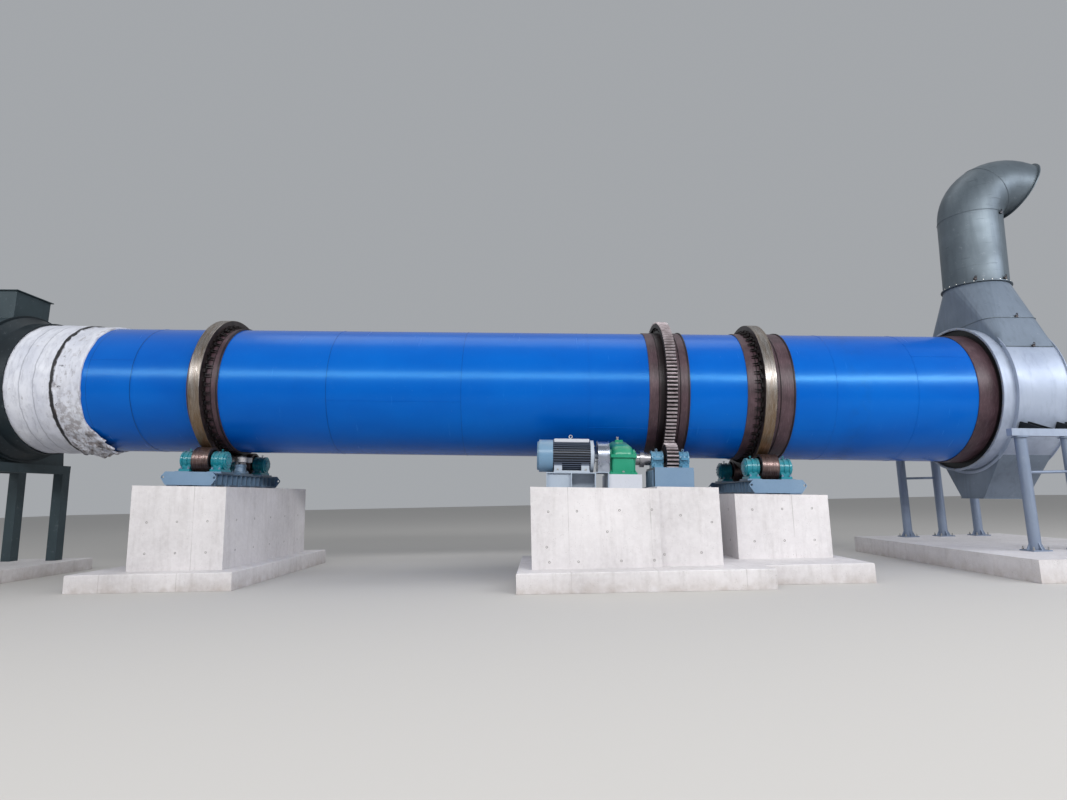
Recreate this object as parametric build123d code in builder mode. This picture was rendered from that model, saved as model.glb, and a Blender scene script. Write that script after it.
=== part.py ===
"""Rotary clay dryer: a long sloping drum on two roller stations, turned by a pinion and a girth gear.

Millimetres. The floor is z = 0, right under the drum axis at the thrust tyre. +X runs to the
discharge end, +Y runs away from the drive side, +Z is up.
"""
import os
from itertools import pairwise
from math import acos, atan, cos, hypot, pi, radians, sin, sqrt, tan

from build123d import *

os.makedirs("parts", exist_ok=True)

# Slope and height of the drum axis
slope_ratio = 0.035
axis_height = 3520           # drum axis above the floor at the thrust tyre
weld_gap = 0.3               # between rings that sit on each other
roll_gap = 0.3               # between a tyre and its rollers
shaft_gap = 0.3              # around a shaft in its bearing

# Drum shell, as distances along the axis from the thrust tyre
shell_radius = 1200
shell_wall = 16
shell_start = -3780
shell_length = 18000
shell_end = shell_start + shell_length

# Rings on the drum
band_thickness = 16
band_edge_width = 22
band_edge_height = 14
band_radius = shell_radius + band_thickness
pad_count = 48
pad_width = 72
pad_height = 28
pad_top = band_radius + pad_height
tyre_depth = 136             # from the pads to the tread
tyre_radius = pad_top + tyre_depth
tyre_width = 200
tyre_chamfer = 8
tyre_overhang = 4140         # of the shell past the discharge tyre
tyre_spacing = shell_end - tyre_overhang
stop_height = 42
stop_thickness = 34
thrust_band_left = 210
thrust_band_right = 334
pad_liner = 6
discharge_band_left = 348
discharge_band_right = 476
end_band_length = 344
end_band_margin = 136

# Feed end lagging
lagging_end = shell_start + 1648
lagging_step = shell_start + 1164
lagging_thin = 30
lagging_thick = 56

# Girth gear and pinion
gear_setback = 1715          # from the discharge tyre, towards the feed end
gear_station = tyre_spacing - gear_setback
gear_module = 22
pinion_teeth = 24
pressure_angle = radians(20)
tooth_backlash = 3
gear_face = 180
gear_rim_depth = 58
gear_web_height = 106        # from the band to the rim, at least about
gear_teeth = round(2 * (band_radius + gear_web_height + gear_rim_depth) / gear_module + 2.5)
gear_web = 44
gear_mount_thickness = 32
gear_bracket_count = 32
gear_band_left = 351
gear_band_right = 348
shell_joints = (2280, gear_station - 190)  # where the shell's three lengths are welded together
pinion_face = 200
pinion_angle = 39.5          # of the pinion, from straight down towards the drive side
drive_centres = gear_module * (gear_teeth + pinion_teeth) / 2
drive_across = -drive_centres * sin(radians(pinion_angle))
drive_rise = -drive_centres * cos(radians(pinion_angle))

# Support rollers
roller_radius = 240
roller_width = 300
roller_shift = 50            # of each roller station from its tyre's middle
roller_angle = 30            # of each roller, from straight down
roller_reach = tyre_radius + roller_radius + roll_gap
roller_across = roller_reach * sin(radians(roller_angle))
roller_rise = -roller_reach * cos(radians(roller_angle))
roller_shaft_radius = 62
housing_radius = 150
housing_rib = 14
housing_gap = 22             # from the roller's face to its housing
housing_length = 238
bearing_height = 204         # roller axis above the base frame
base_frame_height = 270
station_half = 10 * round(roller_across / 10)  # the frames and the concrete keep to centimetres
base_frame_half = station_half + 490           # from the drum axis to the end plate
beam_offset = 300            # of each beam, along the drum from the tyre
beam_width = 170
end_plate_width = 985
base_tie_spacing = 530

# Thrust rollers
thrust_radius = 197
thrust_width = 100
thrust_cover = 84            # of the disc's top, inside the tread
thrust_top = thrust_cover - tyre_radius

# Concrete
footing_height = 280
footing_bevel = 12
pier_half_width = station_half + 932
thrust_pier = (-700, 870)
thrust_footing = (-1420, 1215)
discharge_pier = (tyre_spacing - 890, tyre_spacing + 610)
discharge_footing = (tyre_spacing - 895, tyre_spacing + 810)
thrust_footing_half = station_half + 1307
discharge_footing_half = station_half + 1810
drive_line = 10 * round(drive_across / 10)     # of the pinion, for the concrete
motor_pier_front = drive_line - 1560
pinion_pier = (gear_station - 565, gear_station + 360)
pinion_pier_front = drive_line - 1460
drive_pier_back = drive_line + 420
drive_footing_front = drive_line - 2000
drive_footing_back = drive_line + 640
motor_pier_drop = 30         # of the motor pier's top under the pinion pier's top

# Pinion carrier
pinion_shaft_radius = 70
pinion_bearing_radius = 132
pinion_bearing_height = 163
pinion_bearing_lengths = (203, 168)
pinion_bearing_gap = 38
pinion_base_height = 340
pinion_base_length = 648
pinion_base_depth = 860
plate = 16
coupling_radius = 148
coupling_hub_radius = 112

# Gear reducer
reducer_centres = 500        # from the output shaft to the input shaft
reducer_width = 370
reducer_setback = 905        # from the gear, towards the feed end
reducer_station = gear_station - reducer_setback
reducer_boss = 24            # of the shaft bosses, out of the case
reducer_output_bulge = 300
reducer_input_bulge = 205
reducer_centre_height = 300
reducer_flange = 26
reducer_cover_round = 120
reducer_base_length = 536
reducer_base_shift = 26       # of the base box from the case, towards the pinion

# Motor
motor_radius = 236
motor_fin_height = 30
motor_fin_count = 40
motor_length = 951
motor_cowl_length = 255
motor_centre_height = 280
motor_feet_width = 540
stand_setback = 150          # of the stand's end behind the cowl's
guard_gap = 42               # from the motor's end to the guard
guard_length = 190
guard_radius = 245
guard_clearance = 15         # from the guard to the reducer's boss
guard_end = reducer_station - reducer_width / 2 - reducer_boss - guard_clearance
motor_start = guard_end - guard_length - guard_gap - motor_length
motor_pier = (motor_start - 163, pinion_pier[0])
drive_footing = (motor_pier[0] - 215, pinion_pier[1] + 580)

# Discharge hood
hood_gap = 45                # from the shell's end to the hood
hood_start = shell_end + hood_gap
hood_length = 885
hood_wall = 10
collar_room = 144            # from the shell to the collar
collar_radius = shell_radius + collar_room
hood_radius = collar_radius + 56
seal_plate_gap = 6           # from the end band to the seal plate
seal_plate_start = shell_end - end_band_margin + seal_plate_gap
collar_start = seal_plate_start - 49
seal_plate_bore = shell_radius + 7
seal_plate_thickness = 12
transition_rise = hood_radius - 635
rim_steps = 32               # flats around the transition's round end
duct_radius = 550
duct_rise = hood_radius + 808
elbow_rise = duct_rise + 1452
elbow_bend = 690
elbow_sweep = 115            # degrees the elbow turns, over the discharge end and down
flange_width = 40
flange_thickness = 16
mouth_hole_count = 12
mouth_hole_radius = 8
hopper_rise = 280 - hood_radius
outlet_rise = hopper_rise - 770
outlet_half = 300
outlet_length = 780
outlet_rim = 15
hood_beam_half = hood_radius + 350
hood_beam_rise = -760
hood_beam_size = 120
hood_post_radius = 84
hood_rail_height = 1560
hood_posts = (hood_start - 365, hood_start + 385, hood_start + 1135)
hood_beam_shift = 55         # of the beams from the hood's middle, towards the feed end
slab_height = 320
slab_x = (hood_start - 1305, hood_start + 1885)
slab_front = -hood_beam_half - 1260
slab_back = hood_beam_half + 450

# Feed hood
feed_seal_end = shell_start + 300
feed_hood_end = shell_start - 220
feed_hood_length = 1250
feed_seal_gap = 8            # from the lagging to the seal
feed_seal_bore = shell_radius + lagging_thick + feed_seal_gap
feed_hood_radius = feed_seal_bore + 136
feed_leg_size = 200
feed_leg_half = feed_hood_radius - 150
feed_footing_height = 240
feed_footing_half = feed_leg_half + 500
feed_beam_height = 180
chute_half = 420
chute_rise = feed_hood_radius + 500

slope = atan(slope_ratio)
along = Vector(cos(slope), 0, -sin(slope))
up = Vector(sin(slope), 0, cos(slope))


def station(distance, across=0, rise=0):
    """Gives a point by its distance along the drum axis, sideways and square above the axis."""
    return Vector(0, 0, axis_height) + along * distance + Vector(0, across, 0) + up * rise


def cross_plane(distance, across=0, rise=0):
    """Square across the drum: local x is +Y, local y is up."""
    return Plane(origin=station(distance, across, rise), x_dir=(0, 1, 0), z_dir=along)


def side_plane(distance, across=0, rise=0):
    """Upright along the drum: local x runs along it, local y is up, the normal faces the drive side."""
    return Plane(origin=station(distance, across, rise), x_dir=along, z_dir=(0, -1, 0))


def deck_plane(distance, across=0, rise=0):
    """Parallel to the sloping axis: local x runs along it, local y is +Y."""
    return Plane(origin=station(distance, across, rise), x_dir=along, z_dir=up)


def line_along(distance, across=0, rise=0):
    return Axis(station(distance, across, rise), along)


def level_at(x, rise):
    """Height above the floor, at x, of the deck plane that lies at this rise."""
    return axis_height + (rise - x * sin(slope)) / cos(slope)


def save(name, builder):
    builder.part.label = name
    export_step(builder.part, f"parts/{name}.step")


def add_ring(start, end, bore, outer, edge=False):
    """A ring around the drum axis, with a raised edge at its discharge end where asked."""
    with BuildSketch(cross_plane(start)) as flat:
        Circle(outer)
        Circle(bore, mode=Mode.SUBTRACT)
    extrude(flat.sketch, amount=end - start)
    if edge:
        with BuildSketch(cross_plane(end - band_edge_width)) as lip:
            Circle(outer + band_edge_height)
            Circle(bore, mode=Mode.SUBTRACT)
        extrude(lip.sketch, amount=band_edge_width)


# Drum shell and lagging
with BuildPart() as drum_shell:
    for start, end in pairwise((shell_start, *shell_joints, shell_end + weld_gap)):
        add_ring(start, end - weld_gap, shell_radius - shell_wall, shell_radius)
save("drum_shell", drum_shell)

with BuildPart() as feed_lagging:
    with BuildSketch(side_plane(0)):
        with BuildLine():
            Polyline(
                (shell_start + 5, shell_radius + weld_gap),
                (shell_start + 5, shell_radius + lagging_thick),
                (lagging_step, shell_radius + lagging_thick),
                (lagging_step + 24, shell_radius + lagging_thin),
                (lagging_end, shell_radius + lagging_thin),
                (lagging_end, shell_radius + weld_gap),
                close=True,
            )
        make_face()
    revolve(axis=line_along(0))
save("feed_lagging", feed_lagging)

# Bands on the shell, and the pads and stops of the tyres
band_bore = shell_radius + weld_gap
tyre_bore = hypot(pad_top, pad_width / 2) + weld_gap
stop_top = pad_top + stop_height


def add_tyre_pads(centre):
    """Liner with the pads that carry the tyre and the stops beside it."""
    stop_start = tyre_width / 2 + roll_gap
    pad_half = stop_start + stop_thickness
    sunk = pad_liner / 2
    add_ring(centre - pad_half, centre + pad_half, band_radius + weld_gap, band_radius + pad_liner)
    with BuildSketch(cross_plane(centre - pad_half)) as pads:
        with PolarLocations(band_radius + sunk, pad_count):
            Rectangle(pad_height - sunk, pad_width, align=(Align.MIN, Align.CENTER))
    extrude(pads.sketch, amount=2 * pad_half)
    for start in (-pad_half, stop_start):
        with BuildSketch(cross_plane(centre + start)) as stops:
            with PolarLocations(pad_top - sunk, pad_count):
                Rectangle(stop_height + sunk, pad_width, align=(Align.MIN, Align.CENTER))
        extrude(stops.sketch, amount=stop_thickness)


with BuildPart() as tyres:
    for centre in (0, tyre_spacing):
        half = tyre_width / 2
        with BuildSketch(side_plane(centre)):
            with BuildLine():
                Polyline(
                    (-half, tyre_bore),
                    (-half, tyre_radius - tyre_chamfer),
                    (tyre_chamfer - half, tyre_radius),
                    (half - tyre_chamfer, tyre_radius),
                    (half, tyre_radius - tyre_chamfer),
                    (half, tyre_bore),
                    close=True,
                )
            make_face()
        revolve(axis=line_along(0))
save("tyres", tyres)

with BuildPart() as wear_bands:
    for start, end in (
        (-thrust_band_left, thrust_band_right),
        (tyre_spacing - discharge_band_left, tyre_spacing + discharge_band_right),
        (shell_end - end_band_margin - end_band_length, shell_end - end_band_margin),
    ):
        add_ring(start, end, band_bore, band_radius, edge=True)
save("wear_bands", wear_bands)

with BuildPart() as tyre_pads:
    for centre in (0, tyre_spacing):
        add_tyre_pads(centre)
save("tyre_pads", tyre_pads)


# Girth gear and pinion
def tooth_outline(teeth, turn, steps):
    """Points of a whole gear with involute flanks, turned so that one tooth points at the angle."""
    pitch = gear_module * teeth / 2
    base = pitch * cos(pressure_angle)
    tip = pitch + gear_module
    root = pitch - 1.25 * gear_module
    start = max(root, base + 0.5)
    half_pitch = pi / (2 * teeth) - tooth_backlash / (4 * pitch)
    pitch_involute = tan(pressure_angle) - pressure_angle
    flank = []
    for step in range(steps + 1):
        radius = start + (tip - start) * step / steps
        angle = acos(base / radius)
        flank.append((radius, half_pitch + pitch_involute - (tan(angle) - angle)))
    if start > root:
        flank.insert(0, (root, flank[0][1]))
    points = []
    for tooth in range(teeth):
        middle = turn + 2 * pi * tooth / teeth
        points += [(r * cos(middle - half), r * sin(middle - half)) for r, half in flank]
        points += [(r * cos(middle + half), r * sin(middle + half)) for r, half in reversed(flank)]
    return points


gear_pitch = gear_module * gear_teeth / 2
pinion_pitch = gear_module * pinion_teeth / 2
gear_root = gear_pitch - 1.25 * gear_module
gear_rim_bore = gear_root - gear_rim_depth
gear_mount_radius = gear_rim_bore - 6
mesh_angle = radians(270 - pinion_angle)

with BuildPart() as girth_gear:
    with BuildSketch(cross_plane(gear_station - gear_face / 2)):
        with BuildLine():
            Polyline(*tooth_outline(gear_teeth, mesh_angle + pi / gear_teeth, 2), close=True)
        make_face()
        Circle(gear_rim_bore, mode=Mode.SUBTRACT)
    extrude(amount=gear_face)
    with BuildSketch(cross_plane(gear_station - gear_web / 2)):
        Circle(gear_rim_bore + 2)
        Circle(band_radius + 40, mode=Mode.SUBTRACT)
    extrude(amount=gear_web)
save("girth_gear", girth_gear)

mount_face = gear_station - gear_web / 2
with BuildPart() as gear_band:
    add_ring(gear_station - gear_band_left, gear_station + gear_band_right, band_bore, band_radius,
             edge=True)
    with BuildSketch(cross_plane(mount_face - gear_mount_thickness)):
        Circle(gear_mount_radius)
        Circle(band_radius - band_thickness / 2, mode=Mode.SUBTRACT)
    extrude(amount=gear_mount_thickness)
    with BuildSketch(cross_plane(mount_face + gear_web)):
        with PolarLocations(band_radius - band_thickness / 2, gear_bracket_count):
            Rectangle(70, plate, align=(Align.MIN, Align.CENTER))
    extrude(amount=110)
save("gear_band", gear_band)

pinion_bearing_starts = (
    gear_station - pinion_face / 2 - pinion_bearing_gap - pinion_bearing_lengths[0],
    gear_station + pinion_face / 2 + pinion_bearing_gap,
)
pinion_shaft_end = pinion_bearing_starts[1] + pinion_bearing_lengths[1] - 30
coupling_end = pinion_bearing_starts[0] - 12
reducer_face = reducer_station + reducer_width / 2
coupling_start = reducer_face + 70
coupling_middle = (coupling_start + coupling_end) / 2

with BuildPart() as pinion:
    with BuildSketch(cross_plane(gear_station - pinion_face / 2, drive_across, drive_rise)):
        with BuildLine():
            Polyline(*tooth_outline(pinion_teeth, mesh_angle + pi, 3), close=True)
        make_face()
    extrude(amount=pinion_face)
    with BuildSketch(cross_plane(coupling_middle, drive_across, drive_rise)):
        Circle(pinion_shaft_radius)
    extrude(amount=pinion_shaft_end - coupling_middle)
save("pinion", pinion)

with BuildPart() as pinion_coupling:
    with BuildSketch(side_plane(0, drive_across, drive_rise)):
        with BuildLine():
            Polyline(
                (reducer_face - 60, 0),
                (reducer_face - 60, pinion_shaft_radius),
                (coupling_start, pinion_shaft_radius),
                (coupling_start, coupling_hub_radius),
                (coupling_middle - 36, coupling_hub_radius),
                (coupling_middle - 36, coupling_radius),
                (coupling_middle + 36, coupling_radius),
                (coupling_middle + 36, coupling_hub_radius),
                (coupling_end, coupling_hub_radius),
                (coupling_end, pinion_shaft_radius + weld_gap),
                (coupling_middle - weld_gap, pinion_shaft_radius + weld_gap),
                (coupling_middle - weld_gap, 0),
                close=True,
            )
        make_face()
    revolve(axis=line_along(0, drive_across, drive_rise))
save("pinion_coupling", pinion_coupling)


# Support roller stations
base_top = roller_rise - bearing_height
pier_top = base_top - base_frame_height
housing_start = roller_width / 2 + housing_gap
roller_shaft_half = housing_start + housing_length - 40


def support_roller(centre, side):
    """Roller with its shaft, the web dished between rim and hub."""
    half = roller_width / 2
    rim = roller_radius - 46
    hub = roller_shaft_radius + 44
    web = half - 58
    with BuildPart() as made:
        with BuildSketch(side_plane(centre, side * roller_across, roller_rise)):
            with BuildLine():
                Polyline(
                    (-roller_shaft_half, 0),
                    (-roller_shaft_half, roller_shaft_radius),
                    (-half - 12, roller_shaft_radius),
                    (-half - 12, hub),
                    (-web, hub),
                    (-web, rim),
                    (-half, rim),
                    (-half, roller_radius - 6),
                    (6 - half, roller_radius),
                    (half - 6, roller_radius),
                    (half, roller_radius - 6),
                    (half, rim),
                    (web, rim),
                    (web, hub),
                    (half + 12, hub),
                    (half + 12, roller_shaft_radius),
                    (roller_shaft_half, roller_shaft_radius),
                    (roller_shaft_half, 0),
                    close=True,
                )
            make_face()
        revolve(axis=line_along(centre, side * roller_across, roller_rise))
    return made


roller_stations = (roller_shift, tyre_spacing + roller_shift)
roller_places = [(centre, side, end) for centre in roller_stations for side in (-1, 1) for end in (-1, 1)]
with BuildPart() as roller_housings:
    rib = housing_radius + housing_rib
    for centre, side, end in roller_places:
        near = end * housing_start
        far = end * (housing_start + housing_length)
        with BuildSketch(side_plane(centre, side * roller_across, roller_rise)):
            with BuildLine():
                Polyline(
                    (near, 0),
                    (near, rib),
                    (near + end * 34, rib),
                    (near + end * 34, housing_radius),
                    (near + end * 92, housing_radius),
                    (near + end * 92, rib),
                    (near + end * 122, rib),
                    (near + end * 122, housing_radius),
                    (near + end * 180, housing_radius),
                    (near + end * 180, rib),
                    (near + end * 214, rib),
                    (near + end * 214, rib - 26),
                    (far, rib - 40),
                    (far, 0),
                    close=True,
                )
            make_face()
        revolve(axis=line_along(centre, side * roller_across, roller_rise))
        middle = centre + end * (housing_start + housing_length / 2 - 12)
        with BuildSketch(deck_plane(middle, side * roller_across, base_top)):
            RectangleRounded(housing_length - 40, 400, 20)
        extrude(amount=40)
        with BuildSketch(deck_plane(middle, side * roller_across, base_top)):
            Rectangle(housing_length - 90, 250)
        extrude(amount=bearing_height - 60)
        with BuildSketch(side_plane(centre, side * roller_across, roller_rise)):
            with BuildLine():
                bore = roller_shaft_radius + shaft_gap
                blind = end * (roller_shaft_half + 10)
                Polyline((near, 0), (near, bore), (blind, bore), (blind, 0), close=True)
            make_face()
        revolve(axis=line_along(centre, side * roller_across, roller_rise), mode=Mode.SUBTRACT)
save("roller_housings", roller_housings)


def add_base_frame(centre, with_thrust):
    """Welded frame across the pier: two stiffened beams, end plates, ties, pads and soles."""
    sole = 22
    pad = 32
    flange = 18
    web = 14
    beam_top = base_frame_height - pad
    depth = beam_top - sole
    length = 2 * base_frame_half
    with BuildSketch(side_plane(centre, base_frame_half, pier_top)) as beams:
        for beam in (-beam_offset, beam_offset):
            with Locations((beam, sole + depth / 2)):
                Rectangle(web, depth)
            with Locations((beam, sole + flange / 2), (beam, beam_top - flange / 2)):
                Rectangle(beam_width, flange)
    extrude(beams.sketch, amount=length)
    with BuildSketch(deck_plane(centre, 0, pier_top)) as soles:
        with GridLocations(2 * beam_offset, (length - 160) / 5, 2, 6):
            Rectangle(beam_width + 20, 150)
    extrude(soles.sketch, amount=sole + 2)
    with BuildSketch(deck_plane(centre, 0, pier_top + sole)) as stiffeners:
        with GridLocations(2 * beam_offset, (length - 20) / 14, 2, 15):
            Rectangle(beam_width - 10, web)
        with GridLocations(0, base_tie_spacing, 1, 5):
            Rectangle(2 * beam_offset, 2 * web)
    extrude(stiffeners.sketch, amount=depth)
    with BuildSketch(deck_plane(centre, 0, pier_top + beam_top)) as pads:
        with GridLocations(2 * (housing_start + housing_length / 2), 2 * roller_across, 2, 2):
            Rectangle(housing_length + 10, 460)
        if with_thrust:
            with Locations((-roller_shift, 0)):
                Rectangle(2 * beam_offset + beam_width + 100, 520)
    extrude(pads.sketch, amount=pad)
    reach = end_plate_width / 2
    for face in (-base_frame_half, base_frame_half + 25):
        with BuildSketch(side_plane(centre, face, pier_top + sole)) as end:
            with BuildLine():
                Polyline(
                    (95 - reach, 0),
                    (reach - 95, 0),
                    (reach, depth * 0.62),
                    (reach - 80, depth + 14),
                    (80 - reach, depth + 14),
                    (-reach, depth * 0.62),
                    close=True,
                )
            make_face()
            fillet(end.vertices().group_by(Axis.X)[0] + end.vertices().group_by(Axis.X)[-1], 38)
            with Locations((reach - 46, depth * 0.62), (46 - reach, depth * 0.62)):
                Circle(21, mode=Mode.SUBTRACT)
        extrude(end.sketch, amount=25)


for name, centre in zip(("thrust", "discharge"), roller_stations):
    for place, side in (("front", -1), ("rear", 1)):
        save(f"{name}_{place}_roller", support_roller(centre, side))

with BuildPart() as roller_bases:
    add_base_frame(roller_stations[0], True)
    add_base_frame(roller_stations[1], False)
save("roller_bases", roller_bases)

# Thrust rollers, which stand upright against the tyre's two faces
thrust_offset = tyre_width / 2 + thrust_radius + roll_gap
thrust_shaft_radius = 46
thrust_foot_top = 175
with BuildPart() as thrust_pedestals:
    for side in (-1, 1):
        with BuildSketch(side_plane(side * thrust_offset, 0, base_top)):
            with BuildLine():
                bore = thrust_shaft_radius + shaft_gap
                Polyline(
                    (0, 0),
                    (150, 0),
                    (150, 24),
                    (112, 34),
                    (92, 120),
                    (104, 128),
                    (104, thrust_foot_top),
                    (bore, thrust_foot_top),
                    (bore, 40),
                    (0, 40),
                    close=True,
                )
            make_face()
        revolve(axis=Axis(station(side * thrust_offset, 0, base_top), up))
save("thrust_roller_pedestals", thrust_pedestals)

for name, side in (("feed_side", -1), ("discharge_side", 1)):
    with BuildPart() as thrust_roller:
        with BuildSketch(side_plane(side * thrust_offset, 0, thrust_top)):
            with BuildLine():
                low = base_top - thrust_top
                Polyline(
                    (0, 14),
                    (84, 14),
                    (84, 0),
                    (thrust_radius - 8, 0),
                    (thrust_radius, -8),
                    (thrust_radius, 8 - thrust_width),
                    (thrust_radius - 8, -thrust_width),
                    (84, -thrust_width),
                    (84, low + thrust_foot_top + 5),
                    (thrust_shaft_radius, low + thrust_foot_top + 5),
                    (thrust_shaft_radius, low + 46),
                    (0, low + 46),
                    close=True,
                )
            make_face()
        revolve(axis=Axis(station(side * thrust_offset, 0, thrust_top), up))
    save(f"{name}_thrust_roller", thrust_roller)


# Concrete piers and footings
def add_pier(x_range, rise, front, back):
    """Plain pier with a top that lies parallel to the drum."""
    left, right = x_range
    with BuildSketch(Plane.XZ.offset(-back)) as profile:
        with BuildLine():
            Polyline(
                (left, footing_height),
                (right, footing_height),
                (right, level_at(right, rise)),
                (left, level_at(left, rise)),
                close=True,
            )
        make_face()
    extrude(profile.sketch, amount=back - front)


def add_block(x_range, front, back, height):
    with BuildSketch() as low:
        with Locations((x_range[0], front)):
            Rectangle(x_range[1] - x_range[0], back - front, align=(Align.MIN, Align.MIN))
    extrude(low.sketch, amount=height - footing_bevel)
    with BuildSketch(Plane.XY.offset(height - footing_bevel)) as high:
        with Locations((x_range[0], front)):
            Rectangle(x_range[1] - x_range[0], back - front, align=(Align.MIN, Align.MIN))
    extrude(high.sketch, amount=footing_bevel, taper=45)


pinion_pier_top = drive_rise - pinion_bearing_height - pinion_base_height
motor_pier_top = pinion_pier_top - motor_pier_drop
with BuildPart() as piers:
    add_pier(thrust_pier, pier_top, -pier_half_width, pier_half_width)
    add_pier(discharge_pier, pier_top, -pier_half_width, pier_half_width)
    add_pier(motor_pier, motor_pier_top, motor_pier_front, drive_pier_back)
    add_pier(pinion_pier, pinion_pier_top, pinion_pier_front, drive_pier_back)
save("piers", piers)

feed_hood_start = feed_hood_end - feed_hood_length
with BuildPart() as footings:
    add_block(thrust_footing, -thrust_footing_half, thrust_footing_half, footing_height)
    add_block(discharge_footing, -discharge_footing_half, discharge_footing_half, footing_height)
    add_block(drive_footing, drive_footing_front, drive_footing_back, footing_height)
    add_block((feed_hood_start - 200, feed_hood_end + 260), -feed_footing_half, feed_footing_half,
              feed_footing_height)
save("footings", footings)

# Pinion carrier
base_middle = (pinion_bearing_starts[0] + pinion_bearing_starts[1] + pinion_bearing_lengths[1]) / 2
pinion_base_top = drive_rise - pinion_bearing_height
with BuildPart() as pinion_base:
    with BuildSketch(deck_plane(base_middle, drive_across, pinion_pier_top)):
        Rectangle(pinion_base_length, pinion_base_depth)
        Rectangle(pinion_base_length - 2 * plate, pinion_base_depth - 2 * plate, mode=Mode.SUBTRACT)
    extrude(amount=pinion_base_height)
    with BuildSketch(deck_plane(base_middle, drive_across, pinion_base_top - 30)):
        Rectangle(pinion_base_length, pinion_base_depth)
    extrude(amount=30)
    with BuildSketch(deck_plane(gear_station, drive_across, pinion_base_top - 30)):
        Rectangle(pinion_face + 50, 2 * pinion_pitch + 60)
    extrude(amount=30, mode=Mode.SUBTRACT)
save("pinion_base", pinion_base)

with BuildPart() as pinion_bearings:
    for start, length in zip(pinion_bearing_starts, pinion_bearing_lengths):
        with BuildSketch(cross_plane(start, drive_across, drive_rise)):
            Circle(pinion_bearing_radius)
            with Locations((0, -pinion_bearing_height)):
                Rectangle(2 * pinion_bearing_radius - 40, pinion_bearing_height,
                          align=(Align.CENTER, Align.MIN))
        extrude(amount=length)
        with BuildSketch(cross_plane(start + 24, drive_across, drive_rise)):
            with Locations((0, -pinion_bearing_height)):
                Rectangle(440, 36, align=(Align.CENTER, Align.MIN))
            Rectangle(2 * pinion_bearing_radius + 70, 44)
        extrude(amount=length - 48)
        for rim in (start, start + length / 2 - 12, start + length - 24):
            with BuildSketch(cross_plane(rim, drive_across, drive_rise)):
                Circle(pinion_bearing_radius + 10)
            extrude(amount=24)
    with BuildSketch(cross_plane(pinion_bearing_starts[0], drive_across, drive_rise)):
        Circle(pinion_shaft_radius + shaft_gap)
    extrude(amount=pinion_shaft_end + 10 - pinion_bearing_starts[0], mode=Mode.SUBTRACT)
save("pinion_bearings", pinion_bearings)

# Gear reducer: case halves split at the shafts
reducer_bottom = drive_rise - reducer_centre_height
input_across = drive_across - reducer_centres
case_start = reducer_station - reducer_width / 2
case_front = input_across - reducer_input_bulge
case_back = drive_across + reducer_output_bulge
flange_reach = 36


def cut_output_bore():
    with BuildSketch(cross_plane(reducer_face - 70, drive_across, drive_rise)) as bore:
        Circle(pinion_shaft_radius + shaft_gap)
    extrude(bore.sketch, amount=200, mode=Mode.SUBTRACT)


with BuildPart() as reducer_case:
    with BuildSketch(deck_plane(reducer_station, 0, reducer_bottom)):
        with Locations((0, (case_front + case_back) / 2)):
            Rectangle(reducer_width, case_back - case_front)
    extrude(amount=reducer_centre_height)
    fillet(reducer_case.edges().filter_by(lambda edge: abs(edge.tangent_at(0.5).dot(up)) > 0.99), 40)
    with BuildSketch(deck_plane(reducer_station, 0, drive_rise - reducer_flange)):
        with Locations((0, (case_front + case_back) / 2)):
            RectangleRounded(reducer_width + 2 * flange_reach, case_back - case_front + 2 * flange_reach, 40)
    extrude(amount=reducer_flange)
    with BuildSketch(deck_plane(reducer_station, 0, reducer_bottom)):
        with Locations((0, (case_front + case_back) / 2)):
            RectangleRounded(reducer_width + 90, case_back - case_front + 90, 30)
    extrude(amount=32)
    for place in (input_across, drive_across):
        with BuildSketch(cross_plane(case_start - reducer_boss, place, drive_rise)):
            Circle(125)
            with Locations((0, 130)):
                Rectangle(260, 260, mode=Mode.SUBTRACT)
        extrude(amount=reducer_width + 2 * reducer_boss)
    cut_output_bore()
save("reducer_case", reducer_case)

with BuildPart() as reducer_cover:
    with BuildSketch(cross_plane(case_start, 0, drive_rise)):
        with Locations((drive_across, 0)):
            Circle(reducer_output_bulge)
        with Locations((input_across, 0)):
            Circle(reducer_input_bulge)
        make_hull()
        with Locations(((case_front + case_back) / 2, -reducer_output_bulge)):
            Rectangle(2 * reducer_centres + 800, 2 * reducer_output_bulge, mode=Mode.SUBTRACT)
    extrude(amount=reducer_width)
    round_faces = reducer_cover.faces().filter_by(GeomType.CYLINDER)
    fillet(round_faces.edges().filter_by(GeomType.CIRCLE), reducer_cover_round)
    with BuildSketch(deck_plane(reducer_station, 0, drive_rise)):
        with Locations((0, (case_front + case_back) / 2)):
            RectangleRounded(reducer_width + 2 * flange_reach, case_back - case_front + 2 * flange_reach, 40)
    extrude(amount=reducer_flange)
    for place in (input_across, drive_across):
        with BuildSketch(cross_plane(case_start - reducer_boss, place, drive_rise)):
            Circle(125)
            with Locations((0, -130)):
                Rectangle(260, 260, mode=Mode.SUBTRACT)
        extrude(amount=reducer_width + 2 * reducer_boss)
    with BuildSketch(deck_plane(reducer_station, drive_across - 60, drive_rise + reducer_output_bulge - 50)):
        Rectangle(130, 160)
    extrude(amount=66)
    cut_output_bore()
save("reducer_cover", reducer_cover)

reducer_base_height = reducer_bottom - motor_pier_top
with BuildPart() as reducer_base:
    base_station = reducer_station + reducer_base_shift
    with BuildSketch(deck_plane(base_station, (case_front + case_back) / 2, motor_pier_top)):
        Rectangle(reducer_base_length, case_back - case_front + 120)
    extrude(amount=reducer_base_height)
save("reducer_base", reducer_base)

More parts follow.
